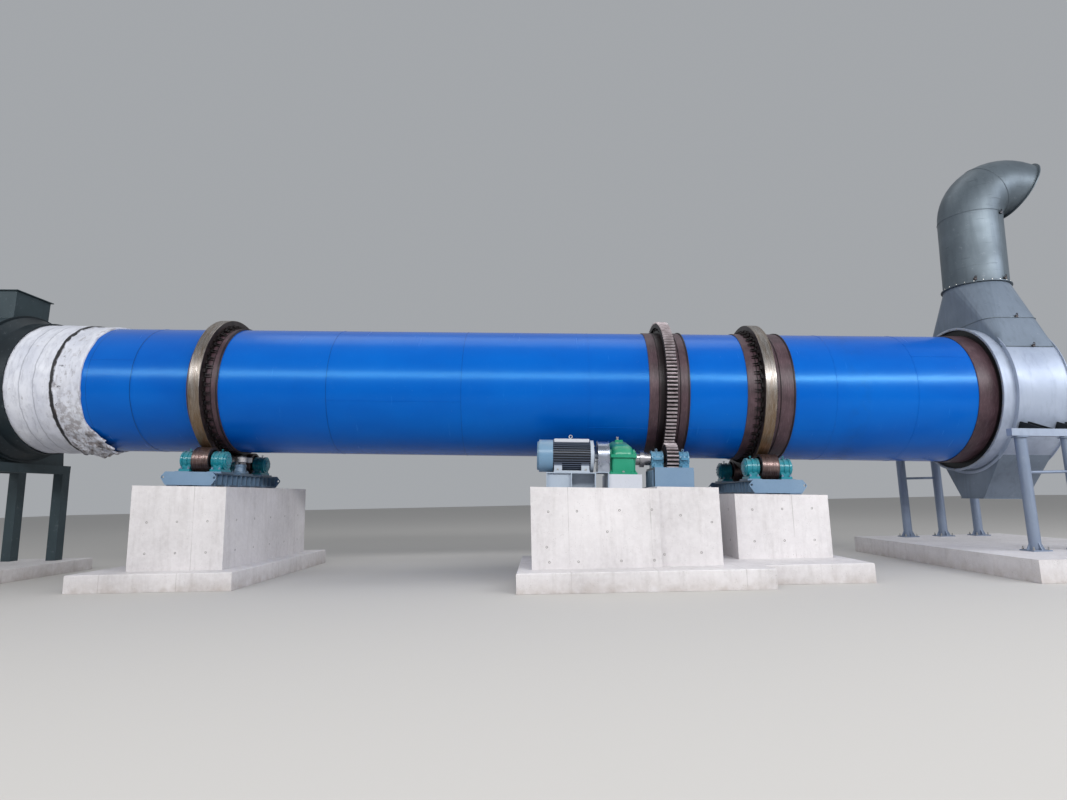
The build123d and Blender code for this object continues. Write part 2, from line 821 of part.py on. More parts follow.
# Motor, its stand and the coupling guard
stand_top = drive_rise - motor_centre_height
stand_height = stand_top - motor_pier_top
motor_end = motor_start + motor_length
guard_start = motor_end + guard_gap
guard_deck = drive_rise - guard_radius - 20
body_start = motor_start + motor_cowl_length
with BuildPart() as motor:
    with BuildSketch(cross_plane(body_start, input_across, drive_rise)):
        Circle(motor_radius)
        with PolarLocations(motor_radius - 4, motor_fin_count):
            Rectangle(motor_fin_height + 4, 7, align=(Align.MIN, Align.CENTER))
    extrude(amount=motor_length - motor_cowl_length - 80)
    with BuildSketch(cross_plane(motor_end - 80, input_across, drive_rise)):
        Circle(motor_radius + motor_fin_height)
    extrude(amount=55)
    with BuildSketch(cross_plane(motor_end - 25, input_across, drive_rise)):
        Circle(130)
    extrude(amount=25)
    with BuildSketch(cross_plane(motor_end, input_across, drive_rise)):
        Circle(40)
    extrude(amount=guard_start - motor_end - weld_gap)
    foot_middle = (body_start + motor_end - 80) / 2
    foot_length = motor_end - body_start - 110
    with BuildSketch(deck_plane(foot_middle, input_across, stand_top)):
        with GridLocations(0, motor_feet_width - 110, 1, 2):
            Rectangle(foot_length, 110)
    extrude(amount=30)
    with BuildSketch(deck_plane(foot_middle, input_across, stand_top)):
        with GridLocations(foot_length - 140, motor_feet_width - 170, 2, 2):
            Rectangle(130, 60)
    extrude(amount=160)
save("motor", motor)

with BuildPart() as motor_cowl:
    with BuildSketch(cross_plane(motor_start + 26, input_across, drive_rise)):
        Circle(motor_radius + motor_fin_height + 4)
    extrude(amount=motor_cowl_length - 26 - weld_gap)
    with BuildSketch(cross_plane(motor_start, input_across, drive_rise)):
        Circle(motor_radius + motor_fin_height - 26)
    extrude(amount=26)
save("motor_cowl", motor_cowl)

with BuildPart() as motor_top_box:
    with BuildSketch(deck_plane(foot_middle, input_across, drive_rise)):
        RectangleRounded(foot_length, 290, 20)
    extrude(amount=motor_radius + motor_fin_height + 12)
    with BuildSketch(cross_plane(body_start - 100, input_across, drive_rise)):
        Circle(motor_radius + motor_fin_height + weld_gap)
    extrude(amount=motor_length + 200, mode=Mode.SUBTRACT)
save("motor_top_box", motor_top_box)

with BuildPart() as motor_stand:
    stand_start = motor_start + stand_setback
    stand_end = guard_start - 34
    deck_end = reducer_station + reducer_base_shift - reducer_base_length / 2
    low_top = guard_deck
    with BuildSketch(side_plane(0, input_across + motor_feet_width / 2 + 40, 0)):
        with BuildLine():
            Polyline(
                (stand_start, motor_pier_top),
                (deck_end - weld_gap, motor_pier_top),
                (deck_end - weld_gap, low_top),
                (stand_end + 32, low_top),
                (stand_end, stand_top),
                (stand_start, stand_top),
                close=True,
            )
        make_face()
        with BuildLine():
            Polyline(
                (stand_start + plate, motor_pier_top),
                (deck_end - plate, motor_pier_top),
                (deck_end - plate, low_top - plate),
                (stand_end + 32 - plate / 2, low_top - plate),
                (stand_end - plate / 2, stand_top - plate),
                (stand_start + plate, stand_top - plate),
                close=True,
            )
        make_face(mode=Mode.SUBTRACT)
    extrude(amount=motor_feet_width + 80)
    with BuildSketch(deck_plane(0, 0, motor_pier_top)):
        with Locations(((stand_start + stand_end) / 2, input_across)):
            Rectangle(stand_end - stand_start - plate, plate)
        with Locations(((stand_start + stand_end) / 2, input_across), (stand_end - plate, input_across)):
            Rectangle(plate, motor_feet_width + 80)
    extrude(amount=stand_height - plate / 2)
save("motor_stand", motor_stand)

with BuildPart() as coupling_guard:
    with BuildSketch(cross_plane(guard_start, input_across, drive_rise)):
        Circle(guard_radius)
        with Locations((0, guard_deck - drive_rise)):
            Rectangle(2 * guard_radius - 60, drive_rise - guard_deck, align=(Align.CENTER, Align.MIN))
    extrude(amount=guard_length)
save("coupling_guard", coupling_guard)

# Discharge hood, square to the drum axis
hood_end = hood_start + hood_length
hood_middle = hood_start + hood_length / 2
transition_half = sqrt(hood_radius ** 2 - transition_rise ** 2)
hopper_half = sqrt(hood_radius ** 2 - hopper_rise ** 2)

with BuildPart() as hood_drum:
    with BuildSketch(cross_plane(hood_start + hood_wall)):
        Circle(hood_radius)
        Circle(hood_radius - hood_wall, mode=Mode.SUBTRACT)
        with Locations((0, transition_rise)):
            Rectangle(2 * hood_radius, hood_radius, align=(Align.CENTER, Align.MIN), mode=Mode.SUBTRACT)
        with Locations((0, hopper_rise)):
            Rectangle(2 * hood_radius, hood_radius, align=(Align.CENTER, Align.MAX), mode=Mode.SUBTRACT)
    extrude(amount=hood_length - 2 * hood_wall)
save("hood_drum", hood_drum)

with BuildPart() as hood_collar:
    with BuildSketch(cross_plane(collar_start)):
        Circle(collar_radius)
        Circle(collar_radius - hood_wall, mode=Mode.SUBTRACT)
    extrude(amount=hood_start - collar_start)
    add_ring(seal_plate_start, seal_plate_start + seal_plate_thickness, seal_plate_bore, collar_radius - 2)
save("hood_collar", hood_collar)


def square_to_round(inset):
    """Transition from the box opening over the hood to the round duct: flat sides, conical corners."""
    length = hood_length / 2 - inset
    width = transition_half - inset
    places = ((length, width), (-length, width), (-length, -width), (length, -width))
    corners = [station(hood_middle + x, y, transition_rise) for x, y in places]
    angles = [2 * pi * step / rim_steps for step in range(rim_steps)]
    radius = duct_radius - inset
    rim = [station(hood_middle + radius * cos(angle), radius * sin(angle), duct_rise) for angle in angles]
    loops = [corners, rim]
    for step in range(rim_steps):
        quarter = step * 4 // rim_steps
        following = rim[(step + 1) % rim_steps]
        loops.append([corners[quarter], rim[step], following])
        if (step + 1) * 4 % rim_steps == 0:
            loops.append([corners[quarter], following, corners[(quarter + 1) % 4]])
    return Solid(Shell([Face(Wire.make_polygon(loop)) for loop in loops]))


with BuildPart() as hood_transition:
    add(square_to_round(0))
    add(square_to_round(hood_wall), mode=Mode.SUBTRACT)
    with BuildSketch(cross_plane(hood_start - 120)):
        Circle(collar_radius + weld_gap)
    extrude(amount=180, mode=Mode.SUBTRACT)
save("hood_transition", hood_transition)


with BuildPart() as hood_end_plates:
    for start, bore in ((hood_start, collar_radius - hood_wall), (hood_end - hood_wall, 0)):
        with BuildSketch(cross_plane(start)):
            Circle(hood_radius)
            if bore:
                Circle(bore, mode=Mode.SUBTRACT)
            with Locations((0, transition_rise)):
                Rectangle(2 * hood_radius, hood_radius, align=(Align.CENTER, Align.MIN), mode=Mode.SUBTRACT)
            with Locations((0, hopper_rise)):
                Rectangle(2 * hood_radius, hood_radius, align=(Align.CENTER, Align.MAX), mode=Mode.SUBTRACT)
        extrude(amount=hood_wall)
save("hood_end_plates", hood_end_plates)


def hopper_body(inset):
    outlet_middle = hood_start + outlet_length / 2
    with BuildSketch(deck_plane(hood_middle, 0, hopper_rise)) as high:
        Rectangle(hood_length - 2 * inset, 2 * (hopper_half - inset))
    with BuildSketch(deck_plane(outlet_middle, 0, outlet_rise)) as low:
        Rectangle(outlet_length - 2 * inset, 2 * (outlet_half - inset))
    loft([high.sketch, low.sketch], ruled=True, mode=Mode.SUBTRACT if inset else Mode.ADD)


with BuildPart() as hood_hopper:
    hopper_body(0)
    hopper_body(hood_wall)
    with BuildSketch(deck_plane(hood_start + outlet_length / 2, 0, outlet_rise)):
        Rectangle(outlet_length + 2 * outlet_rim, 2 * outlet_half + 2 * outlet_rim)
        Rectangle(outlet_length - 2 * hood_wall, 2 * (outlet_half - hood_wall), mode=Mode.SUBTRACT)
    extrude(amount=flange_thickness)
save("hood_hopper", hood_hopper)


# Exhaust duct
def duct_flange(plane):
    with BuildSketch(plane) as flange:
        Circle(duct_radius + flange_width)
        Circle(duct_radius - hood_wall, mode=Mode.SUBTRACT)
    extrude(flange.sketch, amount=flange_thickness)


with BuildPart() as exhaust_duct:
    with BuildSketch(deck_plane(hood_middle, 0, duct_rise)):
        Circle(duct_radius)
        Circle(duct_radius - hood_wall, mode=Mode.SUBTRACT)
    extrude(amount=elbow_rise - duct_rise)
    duct_flange(deck_plane(hood_middle, 0, duct_rise))
save("exhaust_duct", exhaust_duct)

sweep = radians(elbow_sweep)
elbow_start = station(hood_middle, 0, elbow_rise)
mouth_middle = elbow_start + along * elbow_bend * (1 - cos(sweep)) + up * elbow_bend * sin(sweep)
mouth = Plane(origin=mouth_middle, x_dir=(0, 1, 0), z_dir=along * sin(sweep) + up * cos(sweep))
with BuildPart() as exhaust_elbow:
    with BuildSketch(deck_plane(hood_middle, 0, elbow_rise)):
        Circle(duct_radius)
        Circle(duct_radius - hood_wall, mode=Mode.SUBTRACT)
    revolve(axis=Axis(elbow_start + along * elbow_bend, (0, 1, 0)), revolution_arc=elbow_sweep)
    duct_flange(mouth)
    with BuildSketch(mouth):
        with PolarLocations(duct_radius + flange_width / 2, mouth_hole_count):
            Circle(mouth_hole_radius)
    extrude(amount=flange_thickness, mode=Mode.SUBTRACT)
save("exhaust_elbow", exhaust_elbow)

# Posts, beams and brackets that carry the discharge hood
with BuildPart() as hood_posts_part:
    beam_bottom = hood_beam_rise - hood_beam_size
    for side in (-1, 1):
        for x in hood_posts:
            top = level_at(x + hood_post_radius, beam_bottom)
            with BuildSketch(Plane.XY.offset(slab_height)):
                with Locations((x, side * hood_beam_half)):
                    Rectangle(300, 300)
            extrude(amount=20)
            with BuildSketch(Plane.XY.offset(slab_height)):
                with Locations((x, side * hood_beam_half)):
                    Circle(hood_post_radius)
            extrude(amount=top - slab_height)
        with BuildSketch(Plane.YZ.offset(hood_posts[0])):
            with Locations((side * hood_beam_half, hood_rail_height)):
                Circle(24)
        extrude(amount=hood_posts[1] - hood_posts[0])
save("hood_posts", hood_posts_part)

with BuildPart() as hood_beams:
    for side in (-1, 1):
        with BuildSketch(deck_plane(hood_middle - hood_beam_shift, side * hood_beam_half, beam_bottom)):
            Rectangle(hood_posts[2] - hood_posts[0] + 260, hood_beam_size)
        extrude(amount=hood_beam_size)
    for x in (hood_start + 60, hood_start + 200, hood_end - 200, hood_end - 60):
        with BuildSketch(cross_plane(x)):
            for side in (-1, 1):
                with BuildLine():
                    Polyline(
                        (side * 1000, hood_beam_rise),
                        (side * (hood_beam_half + 50), hood_beam_rise),
                        (side * (hood_radius - 110), hood_beam_rise + 180),
                        (side * 1000, hood_beam_rise + 180),
                        close=True,
                    )
                make_face()
            Circle(hood_radius + weld_gap, mode=Mode.SUBTRACT)
        extrude(amount=14)
save("hood_beams", hood_beams)

with BuildPart() as discharge_slabs:
    with BuildSketch():
        with Locations((slab_x[0], slab_front)):
            Rectangle(slab_x[1] - slab_x[0], slab_back - slab_front, align=(Align.MIN, Align.MIN))
    extrude(amount=slab_height)
save("discharge_slabs", discharge_slabs)

# Feed hood
with BuildPart() as feed_seal:
    with BuildSketch(side_plane(0)):
        with BuildLine():
            Polyline(
                (feed_hood_end, feed_hood_radius),
                (feed_hood_end, feed_seal_bore),
                (feed_seal_end, feed_seal_bore),
                (feed_seal_end, feed_seal_bore + 24),
                (feed_hood_end + 240, feed_seal_bore + 24),
                (feed_hood_end + 40, feed_hood_radius),
                close=True,
            )
        make_face()
    revolve(axis=line_along(0))
save("feed_seal", feed_seal)

with BuildPart() as feed_hood:
    with BuildSketch(cross_plane(feed_hood_start)):
        Circle(feed_hood_radius)
        Circle(feed_hood_radius - hood_wall, mode=Mode.SUBTRACT)
    extrude(amount=feed_hood_length)
    with BuildSketch(deck_plane((feed_hood_start + feed_hood_end) / 2, 0, 0)):
        Rectangle(2 * chute_half, 2 * chute_half)
    extrude(amount=2 * feed_hood_radius, mode=Mode.SUBTRACT)
save("feed_hood", feed_hood)

with BuildPart() as feed_hood_end_plate:
    with BuildSketch(cross_plane(feed_hood_start - hood_wall)):
        Circle(feed_hood_radius)
    extrude(amount=hood_wall)
save("feed_hood_end_plate", feed_hood_end_plate)

with BuildPart() as feed_chute:
    chute_middle = (feed_hood_start + feed_hood_end) / 2
    chute_base = sqrt(feed_hood_radius ** 2 - chute_half ** 2) + weld_gap
    with BuildSketch(deck_plane(chute_middle, 0, chute_base)):
        Rectangle(2 * chute_half, 2 * chute_half)
        Rectangle(2 * (chute_half - hood_wall), 2 * (chute_half - hood_wall), mode=Mode.SUBTRACT)
    extrude(amount=chute_rise - chute_base)
    with BuildSketch(deck_plane(chute_middle, 0, chute_rise - flange_thickness)):
        Rectangle(2 * (chute_half + flange_width), 2 * (chute_half + flange_width))
        Rectangle(2 * (chute_half - hood_wall), 2 * (chute_half - hood_wall), mode=Mode.SUBTRACT)
    extrude(amount=flange_thickness)
save("feed_chute", feed_chute)

with BuildPart() as feed_hood_frame:
    saddle_rise = -feed_hood_radius - 60
    for x in (feed_hood_end - 150, feed_hood_start + 150):
        with BuildSketch(cross_plane(x - 12)):
            with BuildLine():
                Polyline(
                    (-feed_leg_half, saddle_rise),
                    (feed_leg_half, saddle_rise),
                    (feed_hood_radius * 0.83, saddle_rise + 640),
                    (-feed_hood_radius * 0.83, saddle_rise + 640),
                    close=True,
                )
            make_face()
            Circle(feed_hood_radius + weld_gap, mode=Mode.SUBTRACT)
        extrude(amount=24)
        with BuildSketch(cross_plane(x - feed_leg_size / 2)):
            with Locations((0, saddle_rise)):
                Rectangle(2 * feed_leg_half + feed_leg_size, feed_beam_height,
                          align=(Align.CENTER, Align.MAX))
        extrude(amount=feed_leg_size)
        for side in (-1, 1):
            place = station(x, 0, saddle_rise - feed_beam_height)
            with BuildSketch(Plane.XY.offset(feed_footing_height)):
                with Locations((place.X, side * feed_leg_half)):
                    Rectangle(feed_leg_size, feed_leg_size)
            extrude(amount=place.Z - feed_footing_height + 30)
save("feed_hood_frame", feed_hood_frame)
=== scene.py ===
"""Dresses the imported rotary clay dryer: its paint, cladding, worn steel, concrete, bolts and seams.

Points and sizes are written in millimetres, as in the part's source, and turned to metres when a
piece is made. +X runs to the discharge end, +Y away from the drive side, +Z up.
"""
from math import atan, cos, radians, sin, sqrt, tau

import bmesh
import bpy
from mathutils import Matrix, Vector, noise


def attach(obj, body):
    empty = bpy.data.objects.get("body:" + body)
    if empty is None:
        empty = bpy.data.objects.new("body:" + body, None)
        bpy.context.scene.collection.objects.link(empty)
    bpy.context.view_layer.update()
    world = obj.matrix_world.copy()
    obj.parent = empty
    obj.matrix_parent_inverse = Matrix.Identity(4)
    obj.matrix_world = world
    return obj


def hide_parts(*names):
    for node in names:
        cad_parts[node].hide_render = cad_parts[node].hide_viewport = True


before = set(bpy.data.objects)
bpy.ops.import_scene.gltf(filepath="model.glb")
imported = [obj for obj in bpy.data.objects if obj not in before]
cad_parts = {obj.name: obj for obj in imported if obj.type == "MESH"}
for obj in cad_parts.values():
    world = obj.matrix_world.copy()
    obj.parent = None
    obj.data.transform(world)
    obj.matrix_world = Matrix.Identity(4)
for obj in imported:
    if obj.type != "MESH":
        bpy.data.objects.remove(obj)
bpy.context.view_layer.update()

# The drum's axis, as in the part
SLOPE = atan(0.035)
ALONG = Vector((cos(SLOPE), 0, -sin(SLOPE)))
ACROSS = Vector((0, 1, 0))
UP = Vector((sin(SLOPE), 0, cos(SLOPE)))
AXIS_HEIGHT = 3520
DECK = (ALONG, ACROSS, UP)
LEVEL = (Vector((1, 0, 0)), Vector((0, 1, 0)), Vector((0, 0, 1)))
CORNERS = ((-1, -1), (-1, 1), (1, -1), (1, 1))

# Sizes shared with the part
SHELL_RADIUS = 1200
SHELL_START, SHELL_END = -3780, 14220
TYRES = (0, 10080)
ROLLERS_PAST_TYRE = 50
HOUSING_START, HOUSING_LENGTH = 172, 238
TYRE_HALF = 100
BAND_RADIUS = 1216
GEAR_AT = 8365
ROLLER_REACH = 1620.3
ROLLER_TURN = radians(30)
ROLLER_ACROSS = ROLLER_REACH * sin(ROLLER_TURN)
ROLLER_RISE = -ROLLER_REACH * cos(ROLLER_TURN)
BASE_TOP = ROLLER_RISE - 204
PIER_TOP = BASE_TOP - 270
DRIVE_CENTRES, DRIVE_TURN = 1672, radians(39.5)
DRIVE_ACROSS = -DRIVE_CENTRES * sin(DRIVE_TURN)
DRIVE_RISE = -DRIVE_CENTRES * cos(DRIVE_TURN)
INPUT_ACROSS = DRIVE_ACROSS - 500
MOTOR_PIER_TOP = DRIVE_RISE - 533
PINION_PIER_TOP = DRIVE_RISE - 503
REDUCER_AT, REDUCER_HALF = 7460, 185
MOTOR_START, MOTOR_END = 6053, 7004
MOTOR_MIDDLE = MOTOR_START + 563
PINION_BEARINGS = ((8024, 203), (8503, 168))
GUARD_START, GUARD_LENGTH = 7046, 190
HOOD_START, HOOD_END, HOOD_RADIUS = 14265, 15150, 1400
COLLAR_FACE = 14041
HOOD_MIDDLE = (HOOD_START + HOOD_END) / 2
TRANSITION_RISE = 765
TRANSITION_HALF = sqrt(HOOD_RADIUS ** 2 - TRANSITION_RISE ** 2)
DUCT_RADIUS, DUCT_RISE, ELBOW_RISE, ELBOW_BEND = 550, 2208, 3660, 690
HOOD_POSTS = (13900, 14650, 15400)
POST_ACROSS, SLAB_TOP = 1750, 340
FEED_START, FEED_END = -5250, -4000


def station(distance, across=0, rise=0):
    """A point by its distance along the drum axis, sideways and square above the axis."""
    return Vector((0, 0, AXIS_HEIGHT)) + ALONG * distance + ACROSS * across + UP * rise


def around(distance, radius, degrees):
    """A point around the drum axis, counted from the top towards +Y."""
    turn = radians(degrees)
    return station(distance, radius * sin(turn), radius * cos(turn))


def outward(degrees):
    """The direction away from the drum axis at this turn."""
    return ACROSS * sin(radians(degrees)) + UP * cos(radians(degrees))


# Finishes
def shade(code):
    """An sRGB hex value as linear numbers."""
    parts = [int(code[i:i + 2], 16) / 255 for i in (1, 3, 5)]
    return tuple(c / 12.92 if c <= 0.04045 else ((c + 0.055) / 1.055) ** 2.4 for c in parts) + (1.0,)


def add(tree, kind, inputs=None, **settings):
    """Adds one shader node, sets it up and links its inputs."""
    made = tree.nodes.new("ShaderNode" + kind)
    for name, value in settings.items():
        setattr(made, name, value)
    for key, value in (inputs or {}).items():
        if isinstance(value, bpy.types.NodeSocket):
            tree.links.new(value, made.inputs[key])
        else:
            made.inputs[key].default_value = value
    return made


def begin(name, roughness, metallic=0.0, **sockets):
    """An empty finish with its shader and the point that its patterns are drawn from."""
    finish = bpy.data.materials.new(name)
    finish.use_nodes = True
    tree = finish.node_tree
    shader = tree.nodes["Principled BSDF"]
    shader.inputs["Roughness"].default_value = roughness
    shader.inputs["Metallic"].default_value = metallic
    for key, value in sockets.items():
        shader.inputs[key.replace("_", " ")].default_value = value
    place = add(tree, "TexCoord").outputs["Object"]
    return finish, tree, shader, place


def drum_place(tree, place):
    """Turns the pattern's point so that X runs down the drum and the axis is its origin."""
    moved = add(tree, "VectorMath", {0: place, 1: (0, 0, -AXIS_HEIGHT / 1000)}, operation="ADD")
    return add(tree, "VectorRotate", {"Vector": moved.outputs[0], "Axis": (0, 1, 0), "Angle": -SLOPE},
               rotation_type="AXIS_ANGLE").outputs[0]


def ramp(tree, value, low, high):
    """0 below low and 1 above high, or the other way round where low is the larger."""
    return add(tree, "MapRange", {"Value": value, "From Min": low, "From Max": high}, clamp=True).outputs[0]


def between(tree, value, low, high):
    """Low where the value is 0, high where it is 1."""
    return add(tree, "MapRange", {"Value": value, "To Min": low, "To Max": high}).outputs[0]


def cloud(tree, place, scale, detail=4.0, roughness=0.55, stretch=(1, 1, 1), low=0.35, high=0.65):
    """Soft noise between 0 and 1, its edges set by low and high."""
    scaled = add(tree, "VectorMath", {0: place, 1: stretch}, operation="MULTIPLY").outputs[0]
    grain = add(tree, "TexNoise", {"Vector": scaled, "Scale": scale, "Detail": detail,
                                   "Roughness": roughness})
    return ramp(tree, grain.outputs["Fac"], low, high)


def mix(tree, factor, first, second):
    """The first colour, blended into the second by the factor."""
    return add(tree, "Mix", {0: factor, 6: first, 7: second}, data_type="RGBA").outputs[2]


def times(tree, first, second, operation="MULTIPLY"):
    """Two values multiplied, or put through another operation."""
    return add(tree, "Math", {0: first, 1: second}, operation=operation).outputs[0]


def bumped(tree, shader, height, strength, distance):
    """Gives the shader a fine relief."""
    made = add(tree, "Bump", {"Height": height, "Strength": strength, "Distance": distance})
    tree.links.new(made.outputs[0], shader.inputs["Normal"])


def reach(tree, place, centre=(0, 0, 0)):
    """The point in the drum's frame, how far it lies down the drum, and how far from the line along it
    through the centre, in metres."""
    drum = drum_place(tree, place)
    shifted = add(tree, "VectorMath", {0: drum, 1: centre}, operation="SUBTRACT").outputs[0]
    parts = add(tree, "SeparateXYZ", {0: shifted})
    squares = times(tree, times(tree, parts.outputs[1], 2.0, "POWER"),
                    times(tree, parts.outputs[2], 2.0, "POWER"), "ADD")
    return drum, parts.outputs[0], times(tree, squares, 0.5, "POWER")


def mark(tree, value, at, half, soft):
    """1 within half of a place along the value, fading out over soft."""
    away = times(tree, times(tree, value, at, "SUBTRACT"), 0.0, "ABSOLUTE")
    return ramp(tree, away, half + soft, half)


def square_on(tree):
    """How squarely a face looks along the drum, from 0 to 1."""
    normal = add(tree, "VectorRotate", {"Vector": add(tree, "NewGeometry").outputs["True Normal"],
                                        "Axis": (0, 1, 0), "Angle": -SLOPE}, rotation_type="AXIS_ANGLE")
    return times(tree, add(tree, "SeparateXYZ", {0: normal.outputs[0]}).outputs[0], 0.0, "ABSOLUTE")


def painted(name, code, worn, roughness=0.38, dust="#b9b4ab", dust_share=0.35, coat=0.0, shaded=0.0):
    """Sprayed enamel on steel: slightly cloudy, dusty where it faces up, dulled in patches, with painted
    shade on faces along the drum.
    """
    finish, tree, shader, place = begin(name, roughness, Coat_Weight=coat, Coat_Roughness=0.12)
    patch = cloud(tree, place, 1.7, low=0.3, high=0.75)
    base = mix(tree, times(tree, patch, 0.55), shade(code), shade(worn))
    facing = add(tree, "SeparateXYZ", {0: add(tree, "NewGeometry").outputs["Normal"]}).outputs[2]
    lying = ramp(tree, facing, 0.35, 0.95)
    grit = cloud(tree, place, 9.0, detail=6.0, low=0.3, high=0.7)
    settled = times(tree, times(tree, lying, grit), dust_share)
    base = mix(tree, settled, base, shade(dust))
    speck = cloud(tree, place, 60.0, detail=2.0, low=0.62, high=0.74)
    base = mix(tree, times(tree, speck, 0.18), base, shade("#2b2c2e"))
    # Painted shade: faces that look along the drum are darkened, as if in shadow.
    if shaded:
        base = mix(tree, times(tree, ramp(tree, square_on(tree), 0.6, 0.9), shaded), base, shade("#26323b"))
    tree.links.new(base, shader.inputs["Base Color"])
    dull = between(tree, patch, roughness - 0.06, roughness + 0.14)
    rough = times(tree, dull, times(tree, settled, 0.5), "ADD")
    tree.links.new(rough, shader.inputs["Roughness"])
    orange_peel = cloud(tree, place, 130.0, detail=2.0, low=0.2, high=0.8)
    bumped(tree, shader, orange_peel, 0.12, 0.001)
    return finish


def drum_enamel():
    """Bright blue gloss enamel on the rolled shell: faint runs, thin dark lines where the courses meet."""
    # The cyan specular tint colours the shell's reflections: a painted reflection tint standing in for
    # bluish light.
    finish, tree, shader, place = begin("blue_gloss_enamel", 0.28, Specular_IOR_Level=0.5,
                                        Specular_Tint=shade("#78dcff"), Coat_Weight=0.02,
                                        Coat_Roughness=0.1)
    drum, down, radius = reach(tree, place)
    fade = cloud(tree, drum, 0.9, stretch=(0.5, 1.0, 1.0), low=0.3, high=0.7)
    base = mix(tree, fade, shade("#0050ae"), shade("#005dbc"))
    streak = cloud(tree, drum, 5.0, detail=6.0, stretch=(3.0, 0.35, 0.35), low=0.55, high=0.8)
    base = mix(tree, times(tree, streak, 0.03), base, shade("#3c7cc8"))
    stain = cloud(tree, drum, 3.2, detail=8.0, roughness=0.7, low=0.62, high=0.8)
    base = mix(tree, times(tree, stain, 0.14), base, shade("#16355f"))
    fleck = cloud(tree, drum, 38.0, detail=2.0, low=0.7, high=0.78)
    base = mix(tree, times(tree, fleck, 0.2), base, shade("#7f9cc8"))
    waves = times(tree, cloud(tree, drum, 3.0, low=0.0, high=1.0), 0.012)
    wander = times(tree, down, waves, "ADD")
    for at, half, strength in ((-1.235, 0.005, 0.8), (-2.03, 0.003, 0.5),
                               (2.28, 0.004, 0.6), (4.685, 0.003, 0.4)):
        line = times(tree, mark(tree, wander, at, half, 0.004), strength)
        base = mix(tree, line, base, shade("#0a2450"))
    dust = times(tree, mark(tree, wander, 11.7, 0.03, 0.18),
                 cloud(tree, drum, 4.0, detail=8.0, roughness=0.7, low=0.45, high=0.75))
    base = mix(tree, times(tree, dust, 0.4), base, shade("#1d3f72"))
    tree.links.new(base, shader.inputs["Base Color"])
    tree.links.new(between(tree, streak, 0.25, 0.29), shader.inputs["Roughness"])
    dents = cloud(tree, drum, 1.6, detail=2.0, stretch=(1.4, 1.0, 1.0), low=0.1, high=0.9)
    bumped(tree, shader, dents, 0.3, 0.01)
    return finish


def primer(name, code="#3a292f", worn="#523d44", scuff="#8b777c", edge_from=9.0):
    """Red oxide primer, brushed on thin: matt, uneven, scuffed, black on raised edges, and black as painted
    shade on its faces and beside the gear.
    """
    finish, tree, shader, place = begin(name, 0.42, Specular_IOR_Level=0.4)
    drum, down, radius = reach(tree, place)
    patch = cloud(tree, drum, 3.5, detail=6.0, low=0.35, high=0.7)
    base = mix(tree, patch, shade(code), shade(worn))
    brush = cloud(tree, drum, 16.0, detail=6.0, roughness=0.7, stretch=(5.0, 0.5, 0.5), low=0.5, high=0.75)
    base = mix(tree, times(tree, brush, 0.35), base, shade(scuff))
    raised = ramp(tree, radius, edge_from, edge_from + 0.002)
    # Painted shade: faces square to the drum axis, and the band within 130 mm of the gear, turn black as if
    # in shadow; raised edges are black too.
    dark_edges_and_painted_shade = times(tree, ramp(tree, square_on(tree), 0.6, 0.9), raised, "MAXIMUM")
    dark_edges_and_painted_shade = times(tree, dark_edges_and_painted_shade, mark(tree, down, (GEAR_AT - 20) / 1000, 0.13, 0.05), "MAXIMUM")
    base = mix(tree, times(tree, dark_edges_and_painted_shade, 0.9), base, shade("#120d0f"))
    tree.links.new(base, shader.inputs["Base Color"])
    bumped(tree, shader, cloud(tree, place, 55.0, detail=4.0, low=0.2, high=0.8), 0.25, 0.002)
    return finish


def rolled_steel(name, centre, low, high, film=("#77726e", "#685440"), bright="#f6f2ee", ochre=0.6):
    """Steel that rolls on steel: bright rim streaks, an ochre film, more ochre low down as painted ground
    reflection, faces painted black as shade, mottled like grease.
    """
    finish, tree, shader, place = begin(name, 0.42, metallic=0.55)
    drum, down, radius = reach(tree, place, centre)
    rim = ramp(tree, radius, low, high)
    patch = cloud(tree, drum, 2.6, detail=8.0, roughness=0.65, stretch=(6.0, 0.6, 0.6), low=0.4, high=0.7)
    worn = mix(tree, patch, shade(film[0]), shade(film[1]))
    scratch = cloud(tree, drum, 14.0, detail=6.0, stretch=(22.0, 0.5, 0.5), low=0.45, high=0.7)
    worn = mix(tree, times(tree, scratch, 0.45), worn, shade(bright))
    pit = cloud(tree, drum, 30.0, detail=6.0, roughness=0.7, low=0.62, high=0.7)
    worn = mix(tree, times(tree, pit, 0.4), worn, shade("#4c3b28"))
    # Painted reflection: the lower side is tinted ochre, as if it mirrored the ground below.
    painted_ground_reflection = ramp(tree, add(tree, "SeparateXYZ", {0: drum}).outputs[2], 0.0, -0.8)
    worn = mix(tree, times(tree, painted_ground_reflection, ochre), worn, shade("#7a5a2a"))
    # Painted shade: the faces off the rim are near-black, mottled like grease.
    grease = cloud(tree, drum, 6.0, detail=6.0, low=0.35, high=0.7)
    face = mix(tree, grease, shade("#141012"), shade("#3b3031"))
    tree.links.new(mix(tree, rim, face, worn), shader.inputs["Base Color"])
    tree.links.new(between(tree, rim, 0.05, 0.85), shader.inputs["Metallic"])
    tree.links.new(between(tree, times(tree, rim, scratch), 0.42, 0.24), shader.inputs["Roughness"])
    bumped(tree, shader, scratch, 0.15, 0.001)
    return finish


